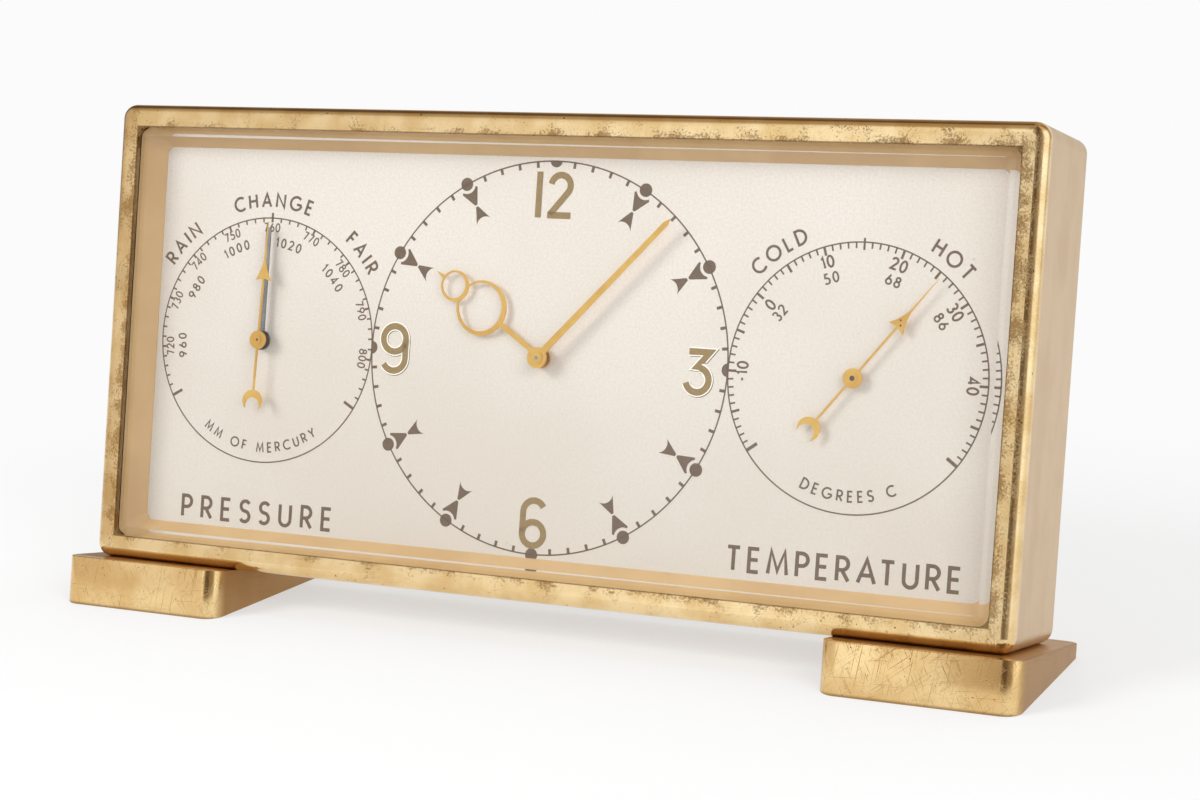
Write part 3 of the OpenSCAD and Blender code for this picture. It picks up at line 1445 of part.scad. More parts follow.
module thermometer_arbor() {
    color("#a9adb4") in_case() {
        rod(thermometer_at, side_arbor_r, thermometer_hand_y - shake, bracket_y - shake);
        rod(thermometer_at, thermo_collet_r, thermo_coil_y, thermo_coil_y + thermo_coil_d);
        rod(thermometer_at, pivot_r, bracket_y - shake, bracket_y + bracket_t);
    }
}
module thermometer_hand() {
    side_hand(thermometer_at, thermometer_angle, thermometer_hand_y);
}

case_shell();
crystal();
glass_seal();
dial_surround();
dial_plate();
hour_numerals();
distance_posts();
back_cover();
cover_screws();
left_foot();
right_foot();
foot_screws();
front_plate();
back_plate();
plate_pillars();
movement_screws();
mainspring_barrel();
barrel_lid();
mainspring();
barrel_arbor();
ratchet_wheel();
winding_key();
click();
click_spring();
intermediate_wheel();
centre_wheel();
third_wheel();
fourth_wheel();
escape_wheel();
pallet_fork();
pallet_stones();
balance_wheel();
impulse_jewel();
hairspring();
balance_cock();
balance_jewels();
cannon_pinion();
minute_wheel();
hour_wheel();
hour_hand();
minute_hand();
setting_arbor();
setting_knob();
barometer_plate();
capsule_plate();
barometer_pillars();
aneroid_capsule();
capsule_post();
rocking_lever();
sector_lever();
barometer_arbor();
barometer_hairspring();
barometer_hand();
set_hand();
set_hand_wheel();
set_hand_knob();
thermometer_bracket();
bimetal_coil();
thermometer_arbor();
thermometer_hand();
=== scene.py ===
# %% [markdown]
# A table clock with a barometer and a thermometer, photographed against white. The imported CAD
# model is loaded first and stays fixed: it gives every piece its place and carries the motion.
# Loading it before anything else means that whatever is drawn later can be measured against it.

# %% Load the fixed frame
import json
import math

import bpy
from mathutils import Matrix, Vector


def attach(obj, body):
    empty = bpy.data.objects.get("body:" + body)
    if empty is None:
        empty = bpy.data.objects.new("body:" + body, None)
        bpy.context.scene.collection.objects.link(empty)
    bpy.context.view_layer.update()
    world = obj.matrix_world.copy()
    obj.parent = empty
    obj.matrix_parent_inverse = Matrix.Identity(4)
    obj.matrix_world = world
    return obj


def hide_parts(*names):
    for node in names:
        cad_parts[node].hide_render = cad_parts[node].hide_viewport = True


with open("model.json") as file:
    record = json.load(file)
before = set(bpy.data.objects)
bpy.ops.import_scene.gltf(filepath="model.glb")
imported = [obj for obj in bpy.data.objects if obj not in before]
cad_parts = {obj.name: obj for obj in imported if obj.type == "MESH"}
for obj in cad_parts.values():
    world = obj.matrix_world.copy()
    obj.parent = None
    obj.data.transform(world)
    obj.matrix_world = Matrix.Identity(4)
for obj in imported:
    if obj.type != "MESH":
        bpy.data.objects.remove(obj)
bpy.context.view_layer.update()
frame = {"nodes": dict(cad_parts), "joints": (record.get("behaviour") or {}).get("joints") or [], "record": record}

# %% [markdown]
# The clock leans back on its feet, so its dial isn't parallel to any world plane. Everything on
# the front is drawn flat on a sheet instead, in millimetres, with x to the right, y up along the
# dial and z towards the viewer, and one matrix lays the sheet on the front plane of the rim. The
# minute hand's axis runs straight into the case, and its pivot is 12 mm behind that plane.

# %% Find the case's own frame
MM = 0.001
PIVOT_DEPTH = 12
hand_joint = next(j for j in frame["joints"] if j["name"] == "minute_hand_turn")
into = Vector(hand_joint["axis"]).normalized()
right = Vector((1, 0, 0))
up = right.cross(into)
rim_centre = Vector(hand_joint["pos_m"]) - PIVOT_DEPTH * MM * into
lean = math.atan2(-into.z, into.y)

SHEET = Matrix.Identity(4)
for row in range(3):
    SHEET[row][0] = right[row] * MM
    SHEET[row][1] = up[row] * MM
    SHEET[row][2] = -into[row] * MM
    SHEET[row][3] = rim_centre[row]
print("lean:", round(math.degrees(lean), 2), "rim centre:", [round(v, 4) for v in rim_centre])

# %% [markdown]
# The camera stands to the right of the clock and a little above it. Its place, direction and lens
# were worked out from the outlines of the case and the three rings in the photograph. The small
# shift puts the clock where the photograph frames it without turning the camera.

# %% Camera
bpy.ops.object.select_all(action="DESELECT")
bpy.ops.object.camera_add(location=(0.206774, -0.433652, 0.125816),
                          rotation=[math.radians(a) for a in (79.4401, 0.1829, 24.7372)])
camera = bpy.context.object
camera.data.sensor_width = 36
camera.data.lens = 72.464
camera.data.shift_x = 0.0103
camera.data.shift_y = 0.0400
camera.data.clip_start = 0.01
bpy.context.scene.camera = camera
print("camera:", [round(v, 3) for v in camera.location])

# %% [markdown]
# Colours are picked as sRGB hex values, the way a paint program shows them, while shader sockets
# work in linear light. One function converts them. A second one adds a node, sets it up and links
# it, so that each material below reads as a short list of what makes its look.

# %% Colour and node helpers
def linear(code):
    """The linear colour of an sRGB hex value such as "#C8A455"."""
    parts = [int(code[i:i + 2], 16) / 255 for i in (1, 3, 5)]
    return [p / 12.92 if p <= 0.04045 else ((p + 0.055) / 1.055) ** 2.4 for p in parts] + [1]


def add(tree, kind, links=None, **settings):
    """Adds a node. links holds values, or other nodes' sockets, for its input sockets."""
    node = tree.nodes.new(kind)
    for name, value in settings.items():
        setattr(node, name, value)
    for socket, value in (links or {}).items():
        if isinstance(value, bpy.types.NodeSocket):
            tree.links.new(value, node.inputs[socket])
        else:
            node.inputs[socket].default_value = value
    return node


def calc(tree, operation, *values):
    """The result of a maths node on up to three numbers or sockets."""
    node = add(tree, "ShaderNodeMath", dict(enumerate(values)), operation=operation)
    return node.outputs["Value"]


def blank_material(name):
    """A new material and its node tree, with no nodes in it."""
    material = bpy.data.materials.new(name)
    material.use_nodes = True
    material.node_tree.nodes.clear()
    return material, material.node_tree


def finished(tree, base, metallic, roughness, relief):
    """Ends a material with one shader that has a bumped surface."""
    shader = add(tree, "ShaderNodeBsdfPrincipled", {
        "Base Color": base, "Metallic": metallic, "Roughness": roughness,
        "Normal": relief.outputs["Normal"]})
    add(tree, "ShaderNodeOutputMaterial", {"Surface": shader.outputs["BSDF"]})


# %% [markdown]
# Most of the clock is brass, and brass is never one colour: lacquer wears off along the edges,
# sweat leaves brown specks, and polishing leaves fine lines. Each metal is built from the same
# four layers: a slow cloud of tone, small dark pits, a fine grain that is long in one direction,
# and a shallow bump. Distances are in millimetres in the leaning case's own frame, so that a grain
# runs along the case and not along the world. Roughness follows the pits, which are dull.

# %% Metal builder
PIT_DULLNESS, GRAIN_DULLNESS = 0.4, 0.3


def case_position(tree):
    """Object coordinates turned into the case's frame, in millimetres."""
    place = add(tree, "ShaderNodeTexCoord")
    turn = Matrix.Rotation(lean, 3, "X")
    return add(tree, "ShaderNodeMapping", {
        "Vector": place.outputs["Object"], "Scale": (1 / MM, 1 / MM, 1 / MM),
        "Rotation": (lean, 0, 0), "Location": -(turn @ rim_centre) / MM}, vector_type="POINT")


def stretched(tree, position, size, detail=2.0, roughness=0.5):
    """Noise whose spots measure about size, a length in millimetres along each axis."""
    scaled = add(tree, "ShaderNodeMapping", {"Vector": position.outputs["Vector"],
                                             "Scale": [1 / s for s in size]})
    return add(tree, "ShaderNodeTexNoise", {"Vector": scaled.outputs["Vector"], "Scale": 1.0,
                                            "Detail": detail, "Roughness": roughness})


def banded(tree, value, low, high, start=0.0, end=1.0):
    """Maps value smoothly from low..high to start..end."""
    return add(tree, "ShaderNodeMapRange", {"Value": value, "From Min": low, "From Max": high,
                                            "To Min": start, "To Max": end},
               interpolation_type="SMOOTHSTEP")


def mixed(tree, factor, first, second):
    """Blends two colours by a factor."""
    node = add(tree, "ShaderNodeMix", {0: factor, 6: first, 7: second}, data_type="RGBA")
    return node.outputs[2]


def metal(name, colour, shade, roughness, grain, pits=0.0, stain="#5A3E1E", metallic=1.0,
          cloud=14.0):
    """Brass, steel and other metals: grain and cloud are the sizes of their spots in mm."""
    material, tree = blank_material(name)
    position = case_position(tree)
    clouds = stretched(tree, position, (cloud, cloud, cloud), 3.0)
    lines = stretched(tree, position, grain, 1.0)
    tone = banded(tree, clouds.outputs["Fac"], 0.35, 0.65)
    base = mixed(tree, tone.outputs["Result"], linear(colour), linear(shade))
    fine = banded(tree, lines.outputs["Fac"], 0.3, 0.7, 0.0, 0.25)
    base = mixed(tree, fine.outputs["Result"], base, linear(shade))
    specks = stretched(tree, position, (0.9, 0.9, 0.9), 4.0, 0.7)
    spread = stretched(tree, position, (9.0, 9.0, 9.0), 2.0)
    edge = banded(tree, spread.outputs["Fac"], 0.35, 0.7, 0.72, 0.56)
    above = calc(tree, "SUBTRACT", specks.outputs["Fac"], edge.outputs["Result"])
    pitted = banded(tree, above, 0.0, 0.07, 0.0, pits)
    base = mixed(tree, pitted.outputs["Result"], base, linear(stain))
    rough = calc(tree, "MULTIPLY_ADD", pitted.outputs["Result"], PIT_DULLNESS, roughness)
    rough = calc(tree, "MULTIPLY_ADD", fine.outputs["Result"], GRAIN_DULLNESS, rough)
    height = calc(tree, "SUBTRACT", lines.outputs["Fac"], pitted.outputs["Result"])
    relief = add(tree, "ShaderNodeBump", {"Height": height, "Strength": 0.1,
                                          "Distance": 0.04 * MM})
    finished(tree, base, metallic, rough, relief)
    return material


# %% Plain metals
COVER = metal("satin brass sheet", "#DCC48E", "#D2B67E", 0.36, (14, 1, 0.15), 0.2, cloud=45.0)
PLATE = metal("brushed movement brass", "#D2B673", "#BF9F5C", 0.3, (14, 1, 0.15), 0.1)
WHEEL = metal("gilt wheel brass", "#DDBD6E", "#CDA957", 0.24, (0.3, 0.3, 0.3), 0.05)
STEEL = metal("polished carbon steel", "#B9BBBE", "#9C9EA3", 0.2, (0.2, 6, 0.2), 0.1, "#4A4642")
SCREWS = metal("turned screw steel", "#A9ABAE", "#8C8E92", 0.32, (0.25, 0.25, 2), 0.2, "#3E3A36")
BLUED = metal("blued spring steel", "#3C4A78", "#2A335A", 0.25, (3, 0.2, 3), 0.05, "#1C1E2A")
CAPSULE = metal("nickel-plated bronze", "#C9C2A6", "#B2A98B", 0.28, (0.3, 4, 0.3), 0.1)
BIMETAL = metal("rolled bimetal strip", "#B8925E", "#9D7D54", 0.4, (4, 0.2, 4), 0.15)
HAND_STEEL = metal("polished hand steel", "#A3A4A6", "#6E6E70", 0.12, (0.4, 0.4, 8), 0.0)

# %% Rubber and ruby
def plain_finish(name, colour, shade, size, roughness, metallic=0.0, **values):
    """A material with a fine mottle of two near colours."""
    material, tree = blank_material(name)
    mottle = stretched(tree, case_position(tree), (size, size, size), 3.0)
    factor = banded(tree, mottle.outputs["Fac"], 0.3, 0.7)
    sockets = {"Base Color": mixed(tree, factor.outputs["Result"], linear(colour), linear(shade)),
               "Metallic": metallic, "Roughness": roughness}
    sockets.update({key.replace("_", " "): value for key, value in values.items()})
    shader = add(tree, "ShaderNodeBsdfPrincipled", sockets)
    add(tree, "ShaderNodeOutputMaterial", {"Surface": shader.outputs["BSDF"]})
    return material


RUBBER = plain_finish("black seal rubber", "#2A2927", "#35332F", 0.4, 0.75)
RUBY = plain_finish("synthetic ruby", "#A3122C", "#8A0C24", 0.5, 0.06, IOR=1.76)
INK = plain_finish("taupe printing ink", "#614A36", "#6D5743", 0.35, 0.6)
GOLD_INK = plain_finish("bronze printing ink", "#A08353", "#92774A", 0.5, 0.45, 0.3)
# Painted highlight: a pale colour for the lit edges of the raised 3 and 9.
HIGHLIGHT_INK = plain_finish("pale painted edge highlight", "#FFFAF2", "#FBF4E9", 0.5, 0.5)
DARK_DOT = plain_finish("dark punched dot", "#4A3A24", "#3A2C1A", 0.2, 0.5)
print("materials so far:", len(bpy.data.materials))

# %% [markdown]
# The case is the piece that sells the clock. It was polished and lacquered decades ago. The flat
# rim is still bright but full of brown specks, and the deep sides were only satined, so they look
# champagne-coloured and soft. Both belong to one brass block, so one material holds both finishes
# and chooses between them by the depth behind the rim.

# %% Worn case brass
OPENING_X, OPENING_Z = 95.25, 43.4
RIM_SIDE_FROM, RIM_SIDE_TO = 94.6, 95.6
FOOT_W, FOOT_L, FOOT_H = 38.0, 45.9, 10.15
FOOT_X, FOOT_AHEAD, CASE_HALF = 84.3, 5.7, 48.15
SATIN_LEFT = 0.2
SCRATCHES = ((4, 12.0), (38, 7.0), (-63, 5.0), (81, 9.0))
# Painted shade: the last colour on the next line is for along and inside the case's opening, and both colours on
# the line after it are for the rim's left outer edge and for a foot's edges.
TARNISH, PIT_BROWN, OPENING_SHADE_BROWN = "#94672F", "#4A3013", "#6B4822"
LEFT_SHADE_BROWN, FOOT_SHADE_BROWN = "#A97E45", "#80592A"


def from_opening(tree, parts):
    """Distance outwards from the edge of the case's front opening, in millimetres."""
    beside = calc(tree, "SUBTRACT", calc(tree, "ABSOLUTE", parts.outputs["X"]), OPENING_X)
    above = calc(tree, "SUBTRACT", calc(tree, "ABSOLUTE", parts.outputs["Z"]), OPENING_Z)
    return calc(tree, "MAXIMUM", beside, above)


def foot_edges(tree, parts):
    """A mask of painted shade along a foot's lowest edge and on its upright corners."""
    sole = -CASE_HALF - FOOT_H
    low = banded(tree, parts.outputs["Z"], sole + 0.15, sole + 0.8, 0.7, 0.0)
    from_middle = calc(tree, "SUBTRACT", calc(tree, "ABSOLUTE", parts.outputs["X"]), FOOT_X)
    from_middle = calc(tree, "ABSOLUTE", from_middle)
    corner = banded(tree, from_middle, FOOT_W / 2 - 1.0, FOOT_W / 2 - 0.1, 0.0, 0.4)
    return calc(tree, "MAXIMUM", low.outputs["Result"], corner.outputs["Result"])


def worn_brass(name, front, shade, side, side_shade, side_from, side_to, wear, scratches, rim):
    """Polished in front of side_from and satin behind side_to, in mm behind the rim's plane."""
    material, tree = blank_material(name)
    position = case_position(tree)
    parts = add(tree, "ShaderNodeSeparateXYZ", {"Vector": position.outputs["Vector"]})
    satin = banded(tree, parts.outputs["Y"], side_from, side_to)
    clouds = stretched(tree, position, (9, 9, 9), 3.0, 0.5)
    tone = banded(tree, clouds.outputs["Fac"], 0.35, 0.65)
    bright = mixed(tree, tone.outputs["Result"], linear(front), linear(shade))
    streaks = stretched(tree, position, (8, 8, 14), 3.0)
    streaky = banded(tree, streaks.outputs["Fac"], 0.35, 0.7)
    soft = mixed(tree, streaky.outputs["Result"], linear(side), linear(side_shade))
    base = mixed(tree, satin.outputs["Result"], bright, soft)
    # Tarnish in specks of half a millimetre, thicker where fingers and cloths don't reach
    specks = stretched(tree, position, (0.5, 0.5, 0.5), 6.0, 0.8)
    patches = stretched(tree, position, (5, 5, 5), 4.0, 0.6)
    cover = banded(tree, patches.outputs["Fac"], 0.3, 0.75, 0.69, 0.45)
    limit = cover.outputs["Result"]
    if rim:
        outwards = from_opening(tree, parts)
        inner = banded(tree, outwards, 0.2, 2.2, 0.09, 0.0)
        outer = banded(tree, outwards, 3.2, 4.6, 0.0, 0.06)
        left = banded(tree, parts.outputs["X"], -RIM_SIDE_TO, -RIM_SIDE_FROM, 0.1, 0.0)
        right = banded(tree, parts.outputs["X"], RIM_SIDE_FROM, RIM_SIDE_TO, 0.0, 0.08)
        for extra in (inner, outer, left, right):
            limit = calc(tree, "SUBTRACT", limit, extra.outputs["Result"])
    above = calc(tree, "SUBTRACT", specks.outputs["Fac"], limit)
    tarnished = banded(tree, above, -0.02, 0.16, 0.0, wear)
    fewer = banded(tree, satin.outputs["Result"], 0.0, 1.0, 1.0, SATIN_LEFT)
    worn = calc(tree, "MULTIPLY", tarnished.outputs["Result"], fewer.outputs["Result"])
    if rim:
        rubbed = banded(tree, parts.outputs["Y"], 0.02, 0.5, 1.0, 0.2)
        worn = calc(tree, "MULTIPLY", worn, rubbed.outputs["Result"])
    for angle, length in SCRATCHES:
        turned_place = add(tree, "ShaderNodeMapping", {
            "Vector": position.outputs["Vector"], "Rotation": (0, math.radians(angle), 0),
            "Location": (angle, angle, length)})
        hair = stretched(tree, turned_place, (length, length, 0.14), 1.0)
        hair_mask = banded(tree, hair.outputs["Fac"], 0.68, 0.76, 0.0, scratches)
        line = calc(tree, "MULTIPLY", hair_mask.outputs["Result"], fewer.outputs["Result"])
        worn = calc(tree, "MAXIMUM", worn, line)
    base = mixed(tree, worn, base, linear(TARNISH))
    pits = stretched(tree, position, (0.8, 0.8, 0.8), 1.0)
    pitted = banded(tree, pits.outputs["Fac"], 0.73, 0.78, 0.0, 0.8)
    pitted = calc(tree, "MULTIPLY", pitted.outputs["Result"], fewer.outputs["Result"])
    base = mixed(tree, pitted, base, linear(PIT_BROWN))
    polish = banded(tree, parts.outputs["Y"], side_from, side_to, 0.15, 0.45)
    rough = calc(tree, "MULTIPLY_ADD", worn, 0.3, polish.outputs["Result"])
    if rim:
        # Painted shade: the rim's left outer edge is darkened brown in streaks, on the left side only.
        left_shade = banded(tree, parts.outputs["X"], -95.9, -95.4, 0.42, 0.0)
        left_shade = calc(tree, "MULTIPLY", left_shade.outputs["Result"], streaky.outputs["Result"])
        left_shade = calc(tree, "MULTIPLY", left_shade, fewer.outputs["Result"])
        base = mixed(tree, left_shade, base, linear(LEFT_SHADE_BROWN))
        # Painted shade: the opening's inner edge and the lip inside it are darkened brown, where the rim shades
        # the recess, mostly on the polished front.
        opening_shade = banded(tree, outwards, 0.02, 0.3, 0.8, 0.0)
        opening_shade = calc(tree, "MULTIPLY", opening_shade.outputs["Result"], fewer.outputs["Result"])
        base = mixed(tree, opening_shade, base, linear(OPENING_SHADE_BROWN))
    else:
        # Painted shade: a foot's bottom edge and upright corners are darkened brown.
        base = mixed(tree, foot_edges(tree, parts), base, linear(FOOT_SHADE_BROWN))
    relief = add(tree, "ShaderNodeBump", {
        "Height": calc(tree, "SUBTRACT", clouds.outputs["Fac"], worn), "Strength": 0.25,
        "Distance": 0.08 * MM})
    finished(tree, base, 1.0, rough, relief)
    return material


CASE = worn_brass("polished case brass, worn", "#F3D8A6", "#E2C087", "#DFC7A6", "#D8BE9C", 2.1, 3.2,
                  0.7, 0.1, True)
FEET = worn_brass("polished foot brass, scratched", "#F4D59C", "#E2BC80", "#D1A875", "#C89E69",
                  -4.6, -1.5, 0.35, 0.6, False)
SURROUND = metal("satin lacquered dial surround", "#DCB682", "#D2AB77", 0.62, (20, 20, 20), 0.05,
                 metallic=0.15)
GILT = metal("gilt hand brass", "#F7C866", "#EAB24E", 0.33, (2, 0.2, 2), 0.0)
print("brass:", CASE.name, "and", FEET.name)

# %% [markdown]
# The dial is a brass plate that was silvered and lacquered. Silvering is brushed on as a paste, so
# it is matt, slightly pink and has a grain as fine as sand. It scatters light in all directions,
# so it is mostly a diffuse surface, with a little metal under the lacquer.

# %% Silvered dial
def silvered_dial():
    """Painted light: pale above, darker and yellower below, with fine grain and small brown spots."""
    material, tree = blank_material("silvered dial, lacquered")
    position = case_position(tree)
    grain = stretched(tree, position, (0.5, 0.5, 0.5), 3.0, 0.7)
    clouds = stretched(tree, position, (45, 45, 45), 2.0)
    sand = banded(tree, grain.outputs["Fac"], 0.25, 0.75)
    tone = banded(tree, clouds.outputs["Fac"], 0.3, 0.7)
    parts = add(tree, "ShaderNodeSeparateXYZ", {"Vector": position.outputs["Vector"]})
    # Painted light: the base colour is lighter at the top and darker towards the bottom, as if lit from above.
    painted_top_light = banded(tree, parts.outputs["Z"], -30.0, 38.0)
    upper = mixed(tree, tone.outputs["Result"], linear("#F3EAE5"), linear("#EDE3DC"))
    lower = mixed(tree, tone.outputs["Result"], linear("#E6DED6"), linear("#DFD5CC"))
    base = mixed(tree, painted_top_light.outputs["Result"], lower, upper)
    grit = calc(tree, "MULTIPLY", sand.outputs["Result"], 0.42)
    base = mixed(tree, grit, base, linear("#CDBEB0"))
    spots = stretched(tree, position, (1.6, 1.6, 1.6), 1.0)
    spot = banded(tree, spots.outputs["Fac"], 0.79, 0.83, 0.0, 0.35)
    base = mixed(tree, spot.outputs["Result"], base, linear("#A58B66"))
    relief = add(tree, "ShaderNodeBump", {"Height": grain.outputs["Fac"], "Strength": 0.12,
                                          "Distance": 0.03 * MM})
    finished(tree, base, 0.12, 0.5, relief)
    return material


DIAL = silvered_dial()

# %% [markdown]
# The window is mineral glass. It bends light at its bevel, which shows the dial's edge twice. Real
# glass also lets the lamps' light through, which a path tracer finds only by luck, so shadow rays
# see it as clear: the dial is lit and the hands' shadows fall on it.

# %% Window glass
def window_glass():
    """Clear glass with faint smears, which shadow and diffuse rays pass straight through."""
    material, tree = blank_material("bevelled mineral glass")
    smears = stretched(tree, case_position(tree), (30, 30, 30), 2.0)
    rough = banded(tree, smears.outputs["Fac"], 0.4, 0.8, 0.0, 0.02)
    glass = add(tree, "ShaderNodeBsdfPrincipled", {
        "Base Color": linear("#FCFDFC"), "Roughness": rough.outputs["Result"], "IOR": 1.44,
        "Transmission Weight": 1.0})
    clear = add(tree, "ShaderNodeBsdfTransparent", {"Color": linear("#FBFCFB")})
    ray = add(tree, "ShaderNodeLightPath")
    either = calc(tree, "MAXIMUM", ray.outputs["Is Shadow Ray"], ray.outputs["Is Diffuse Ray"])
    both = add(tree, "ShaderNodeMixShader", {0: either, 1: glass.outputs["BSDF"],
                                             2: clear.outputs["BSDF"]})
    add(tree, "ShaderNodeOutputMaterial", {"Surface": both.outputs["Shader"]})
    return material


GLASS = window_glass()

# %% Dress every CAD node
FINISHES = {
    "case_brass": CASE, "cover_brass": COVER, "crystal_glass": GLASS, "seal_rubber": RUBBER,
    "surround_brass": SURROUND, "dial_silver": DIAL, "numeral_brass": GOLD_INK,
    "hand_gilt": GILT, "set_hand_steel": HAND_STEEL, "screw_steel": SCREWS,
    "plate_brass": PLATE, "wheel_brass": WHEEL, "arbor_steel": STEEL, "spring_steel": BLUED,
    "ruby": RUBY, "capsule_metal": CAPSULE, "bimetal": BIMETAL}
slot_of = {part["node"]: part["material_slot"] for part in frame["record"]["subparts"]}
for node, piece in frame["nodes"].items():
    piece.data.materials.clear()
    piece.data.materials.append(FINISHES[slot_of[node]])
print("dressed nodes:", len(slot_of))

# %% [markdown]
# New pieces are drawn flat on the sheet, as a draughtsman would, and then placed. A flat shape is
# a filled curve with a little thickness. Several outlines in one curve cut holes in each other, so
# a ring is two circles, and shapes that overlap are drawn one by one and joined afterwards.

# %% Drawing helpers
def only(*pieces):
    """Selects these pieces and nothing else, the first one active."""
    bpy.ops.object.select_all(action="DESELECT")
    for piece in pieces:
        piece.select_set(True)
    bpy.context.view_layer.objects.active = pieces[0]


def circle(x, y, r, points=96, start=0.0, end=360.0):
    """Points on a circle or on a part of one."""
    count = points if end - start >= 360 else points + 1
    step = (end - start) / points
    angles = [math.radians(start + step * i) for i in range(count)]
    return [(x + r * math.cos(a), y + r * math.sin(a)) for a in angles]


def drawn(outlines, z=0.0, thickness=0.0, edge=0.0):
    """A filled flat curve at height z on the sheet, not yet a mesh."""
    curve = bpy.data.curves.new("drawn", "CURVE")
    curve.dimensions = "2D"
    curve.fill_mode = "BOTH"
    curve.extrude = thickness / 2 - edge
    curve.bevel_depth = edge
    curve.bevel_resolution = 2
    for outline in outlines:
        line = curve.splines.new("POLY")
        line.points.add(len(outline) - 1)
        for point, (x, y) in zip(line.points, outline):
            point.co = (x, y, 0, 1)
        line.use_cyclic_u = True
    piece = bpy.data.objects.new("drawn", curve)
    piece.location.z = z + thickness / 2
    bpy.context.scene.collection.objects.link(piece)
    return piece


def meshed(*pieces):
    """Turns drawn shapes into one mesh, with its doubled points merged."""
    only(*pieces)
    bpy.ops.object.convert(target="MESH")
    if len(pieces) > 1:
        bpy.ops.object.join()
    piece = bpy.context.object
    bpy.ops.object.transform_apply(location=True, rotation=True, scale=True)
    bpy.ops.object.mode_set(mode="EDIT")
    bpy.ops.mesh.select_all(action="SELECT")
    bpy.ops.mesh.remove_doubles(threshold=0.0004)
    bpy.ops.mesh.normals_make_consistent(inside=False)
    bpy.ops.object.mode_set(mode="OBJECT")
    return piece


def mount(piece, name, material, body="case"):
    """Lays a finished piece in the clock, names it, and gives it its finish and its body."""
    only(piece)
    piece.matrix_world = SHEET @ piece.matrix_world
    bpy.ops.object.transform_apply(location=True, rotation=True, scale=True)
    piece.name = name
    piece.data.name = name
    piece.data.materials.clear()
    piece.data.materials.append(material)
    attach(piece, body)
    print(name, len(piece.data.polygons), "faces")
    return piece


# %% [markdown]
# The dial's print is one thin layer of ink. It is drawn as shapes that stand two hundredths of a
# millimetre in front of the plate, which is thick enough for the renderer and too thin to see. A
# tick is drawn once at the top of its ring and copied round to each angle.

# %% Rings and ticks
DIAL_FACE = -8.0
INK_Z = DIAL_FACE + 0.005
INK_T = 0.02
CLOCK, BAROMETER, THERMOMETER = (0, 0), (-64.8, 0), (64.8, 0)
CLOCK_R, SIDE_R = 39.2, 25.6


def turned(points, angle, at):
    """Points drawn about the origin, turned clockwise by angle and moved to at."""
    c = math.cos(math.radians(-angle))
    s = math.sin(math.radians(-angle))
    return [(at[0] + x * c - y * s, at[1] + x * s + y * c) for x, y in points]


def ink(*outlines):
    """A filled shape in the layer of ink."""
    return drawn(outlines, INK_Z, INK_T)


def ring_line(at, r, width):
    """A printed circle whose line is centred on r."""
    return ink(circle(*at, r + width / 2, 240), circle(*at, r - width / 2, 240))


def ticks(at, outer, inner, width, angles):
    """Straight ticks from one radius to another at clockwise angles from the top."""
    half = width / 2
    tick = [(-half, inner), (half, inner), (half, outer), (-half, outer)]
    return ink(*[turned(tick, angle, at) for angle in angles])


hours = [30 * hour for hour in range(12)]
dart_hours = [a for a in hours if a % 90]
minutes = [6 * minute for minute in range(60) if 6 * minute % 30]
clock_print = [ring_line(CLOCK, CLOCK_R - 0.1, 0.3),
               ticks(CLOCK, CLOCK_R - 0.1, CLOCK_R - 1.3, 0.6, minutes)]

# %% [markdown]
# Eight hours have a bow tie and a dot instead of a number. A bow tie is two darts, point to point,
# each with a hollow end that follows a circle about the dot. At 12, 3 and 9 only the half of the
# dot inside the ring is printed, because the case or a side ring is in the way.

# %% Bow ties and dots
DOT_R = 1.33
NECK_R, NECK_HALF = 34.3, 0.25
OUTER_END_R, OUTER_HALF = 37.7, 1.87
INNER_END_R, INNER_HALF = 30.8, 1.65
outer_dart = ([(-NECK_HALF, NECK_R + 0.15), (-OUTER_HALF, OUTER_END_R)]
              + circle(0, CLOCK_R, 1.95, 12, 218, 322)
              + [(OUTER_HALF, OUTER_END_R), (NECK_HALF, NECK_R + 0.15)])
inner_dart = ([(NECK_HALF, NECK_R - 0.2), (INNER_HALF, INNER_END_R)]
              + circle(0, 29.6, 2.05, 10, 50, 130)
              + [(-INNER_HALF, INNER_END_R), (-NECK_HALF, NECK_R - 0.2)])
for shape in (outer_dart, inner_dart):
    clock_print.append(ink(*[turned(shape, angle, CLOCK) for angle in dart_hours]))
clock_print.append(ink(*[turned(circle(0, CLOCK_R, DOT_R, 32), angle, CLOCK)
                         for angle in dart_hours + [180]]))
half_dot = circle(0, CLOCK_R, DOT_R, 24, 180, 360)
clock_print.append(ink(*[turned(half_dot, angle, CLOCK) for angle in (0, 90, 270)]))
mount(meshed(*clock_print), "clock_ring_print", INK)

# %% [markdown]
# The lettering is a plain geometric alphabet of even strokes. Such letters are easy to draw as
# paths with a pen of one width, which keeps every word on the dial in the same hand at any size.
# Each glyph is a width and its strokes on a grid where a capital is one unit high. The words are
# generic ones for such a dial: no name, maker or place is on it, and the middle stays bare.

# %% A stroke alphabet
AFTER_A = 0.35
LONGEST_OPEN_PATH = 20


def bow(x, y, r, start, end, tall=1.0, points=12):
    """A round stroke about a point, tall times as high as it is wide."""
    return [(px, y + (py - y) * tall) for px, py in circle(x, y, r, points, start, end)]


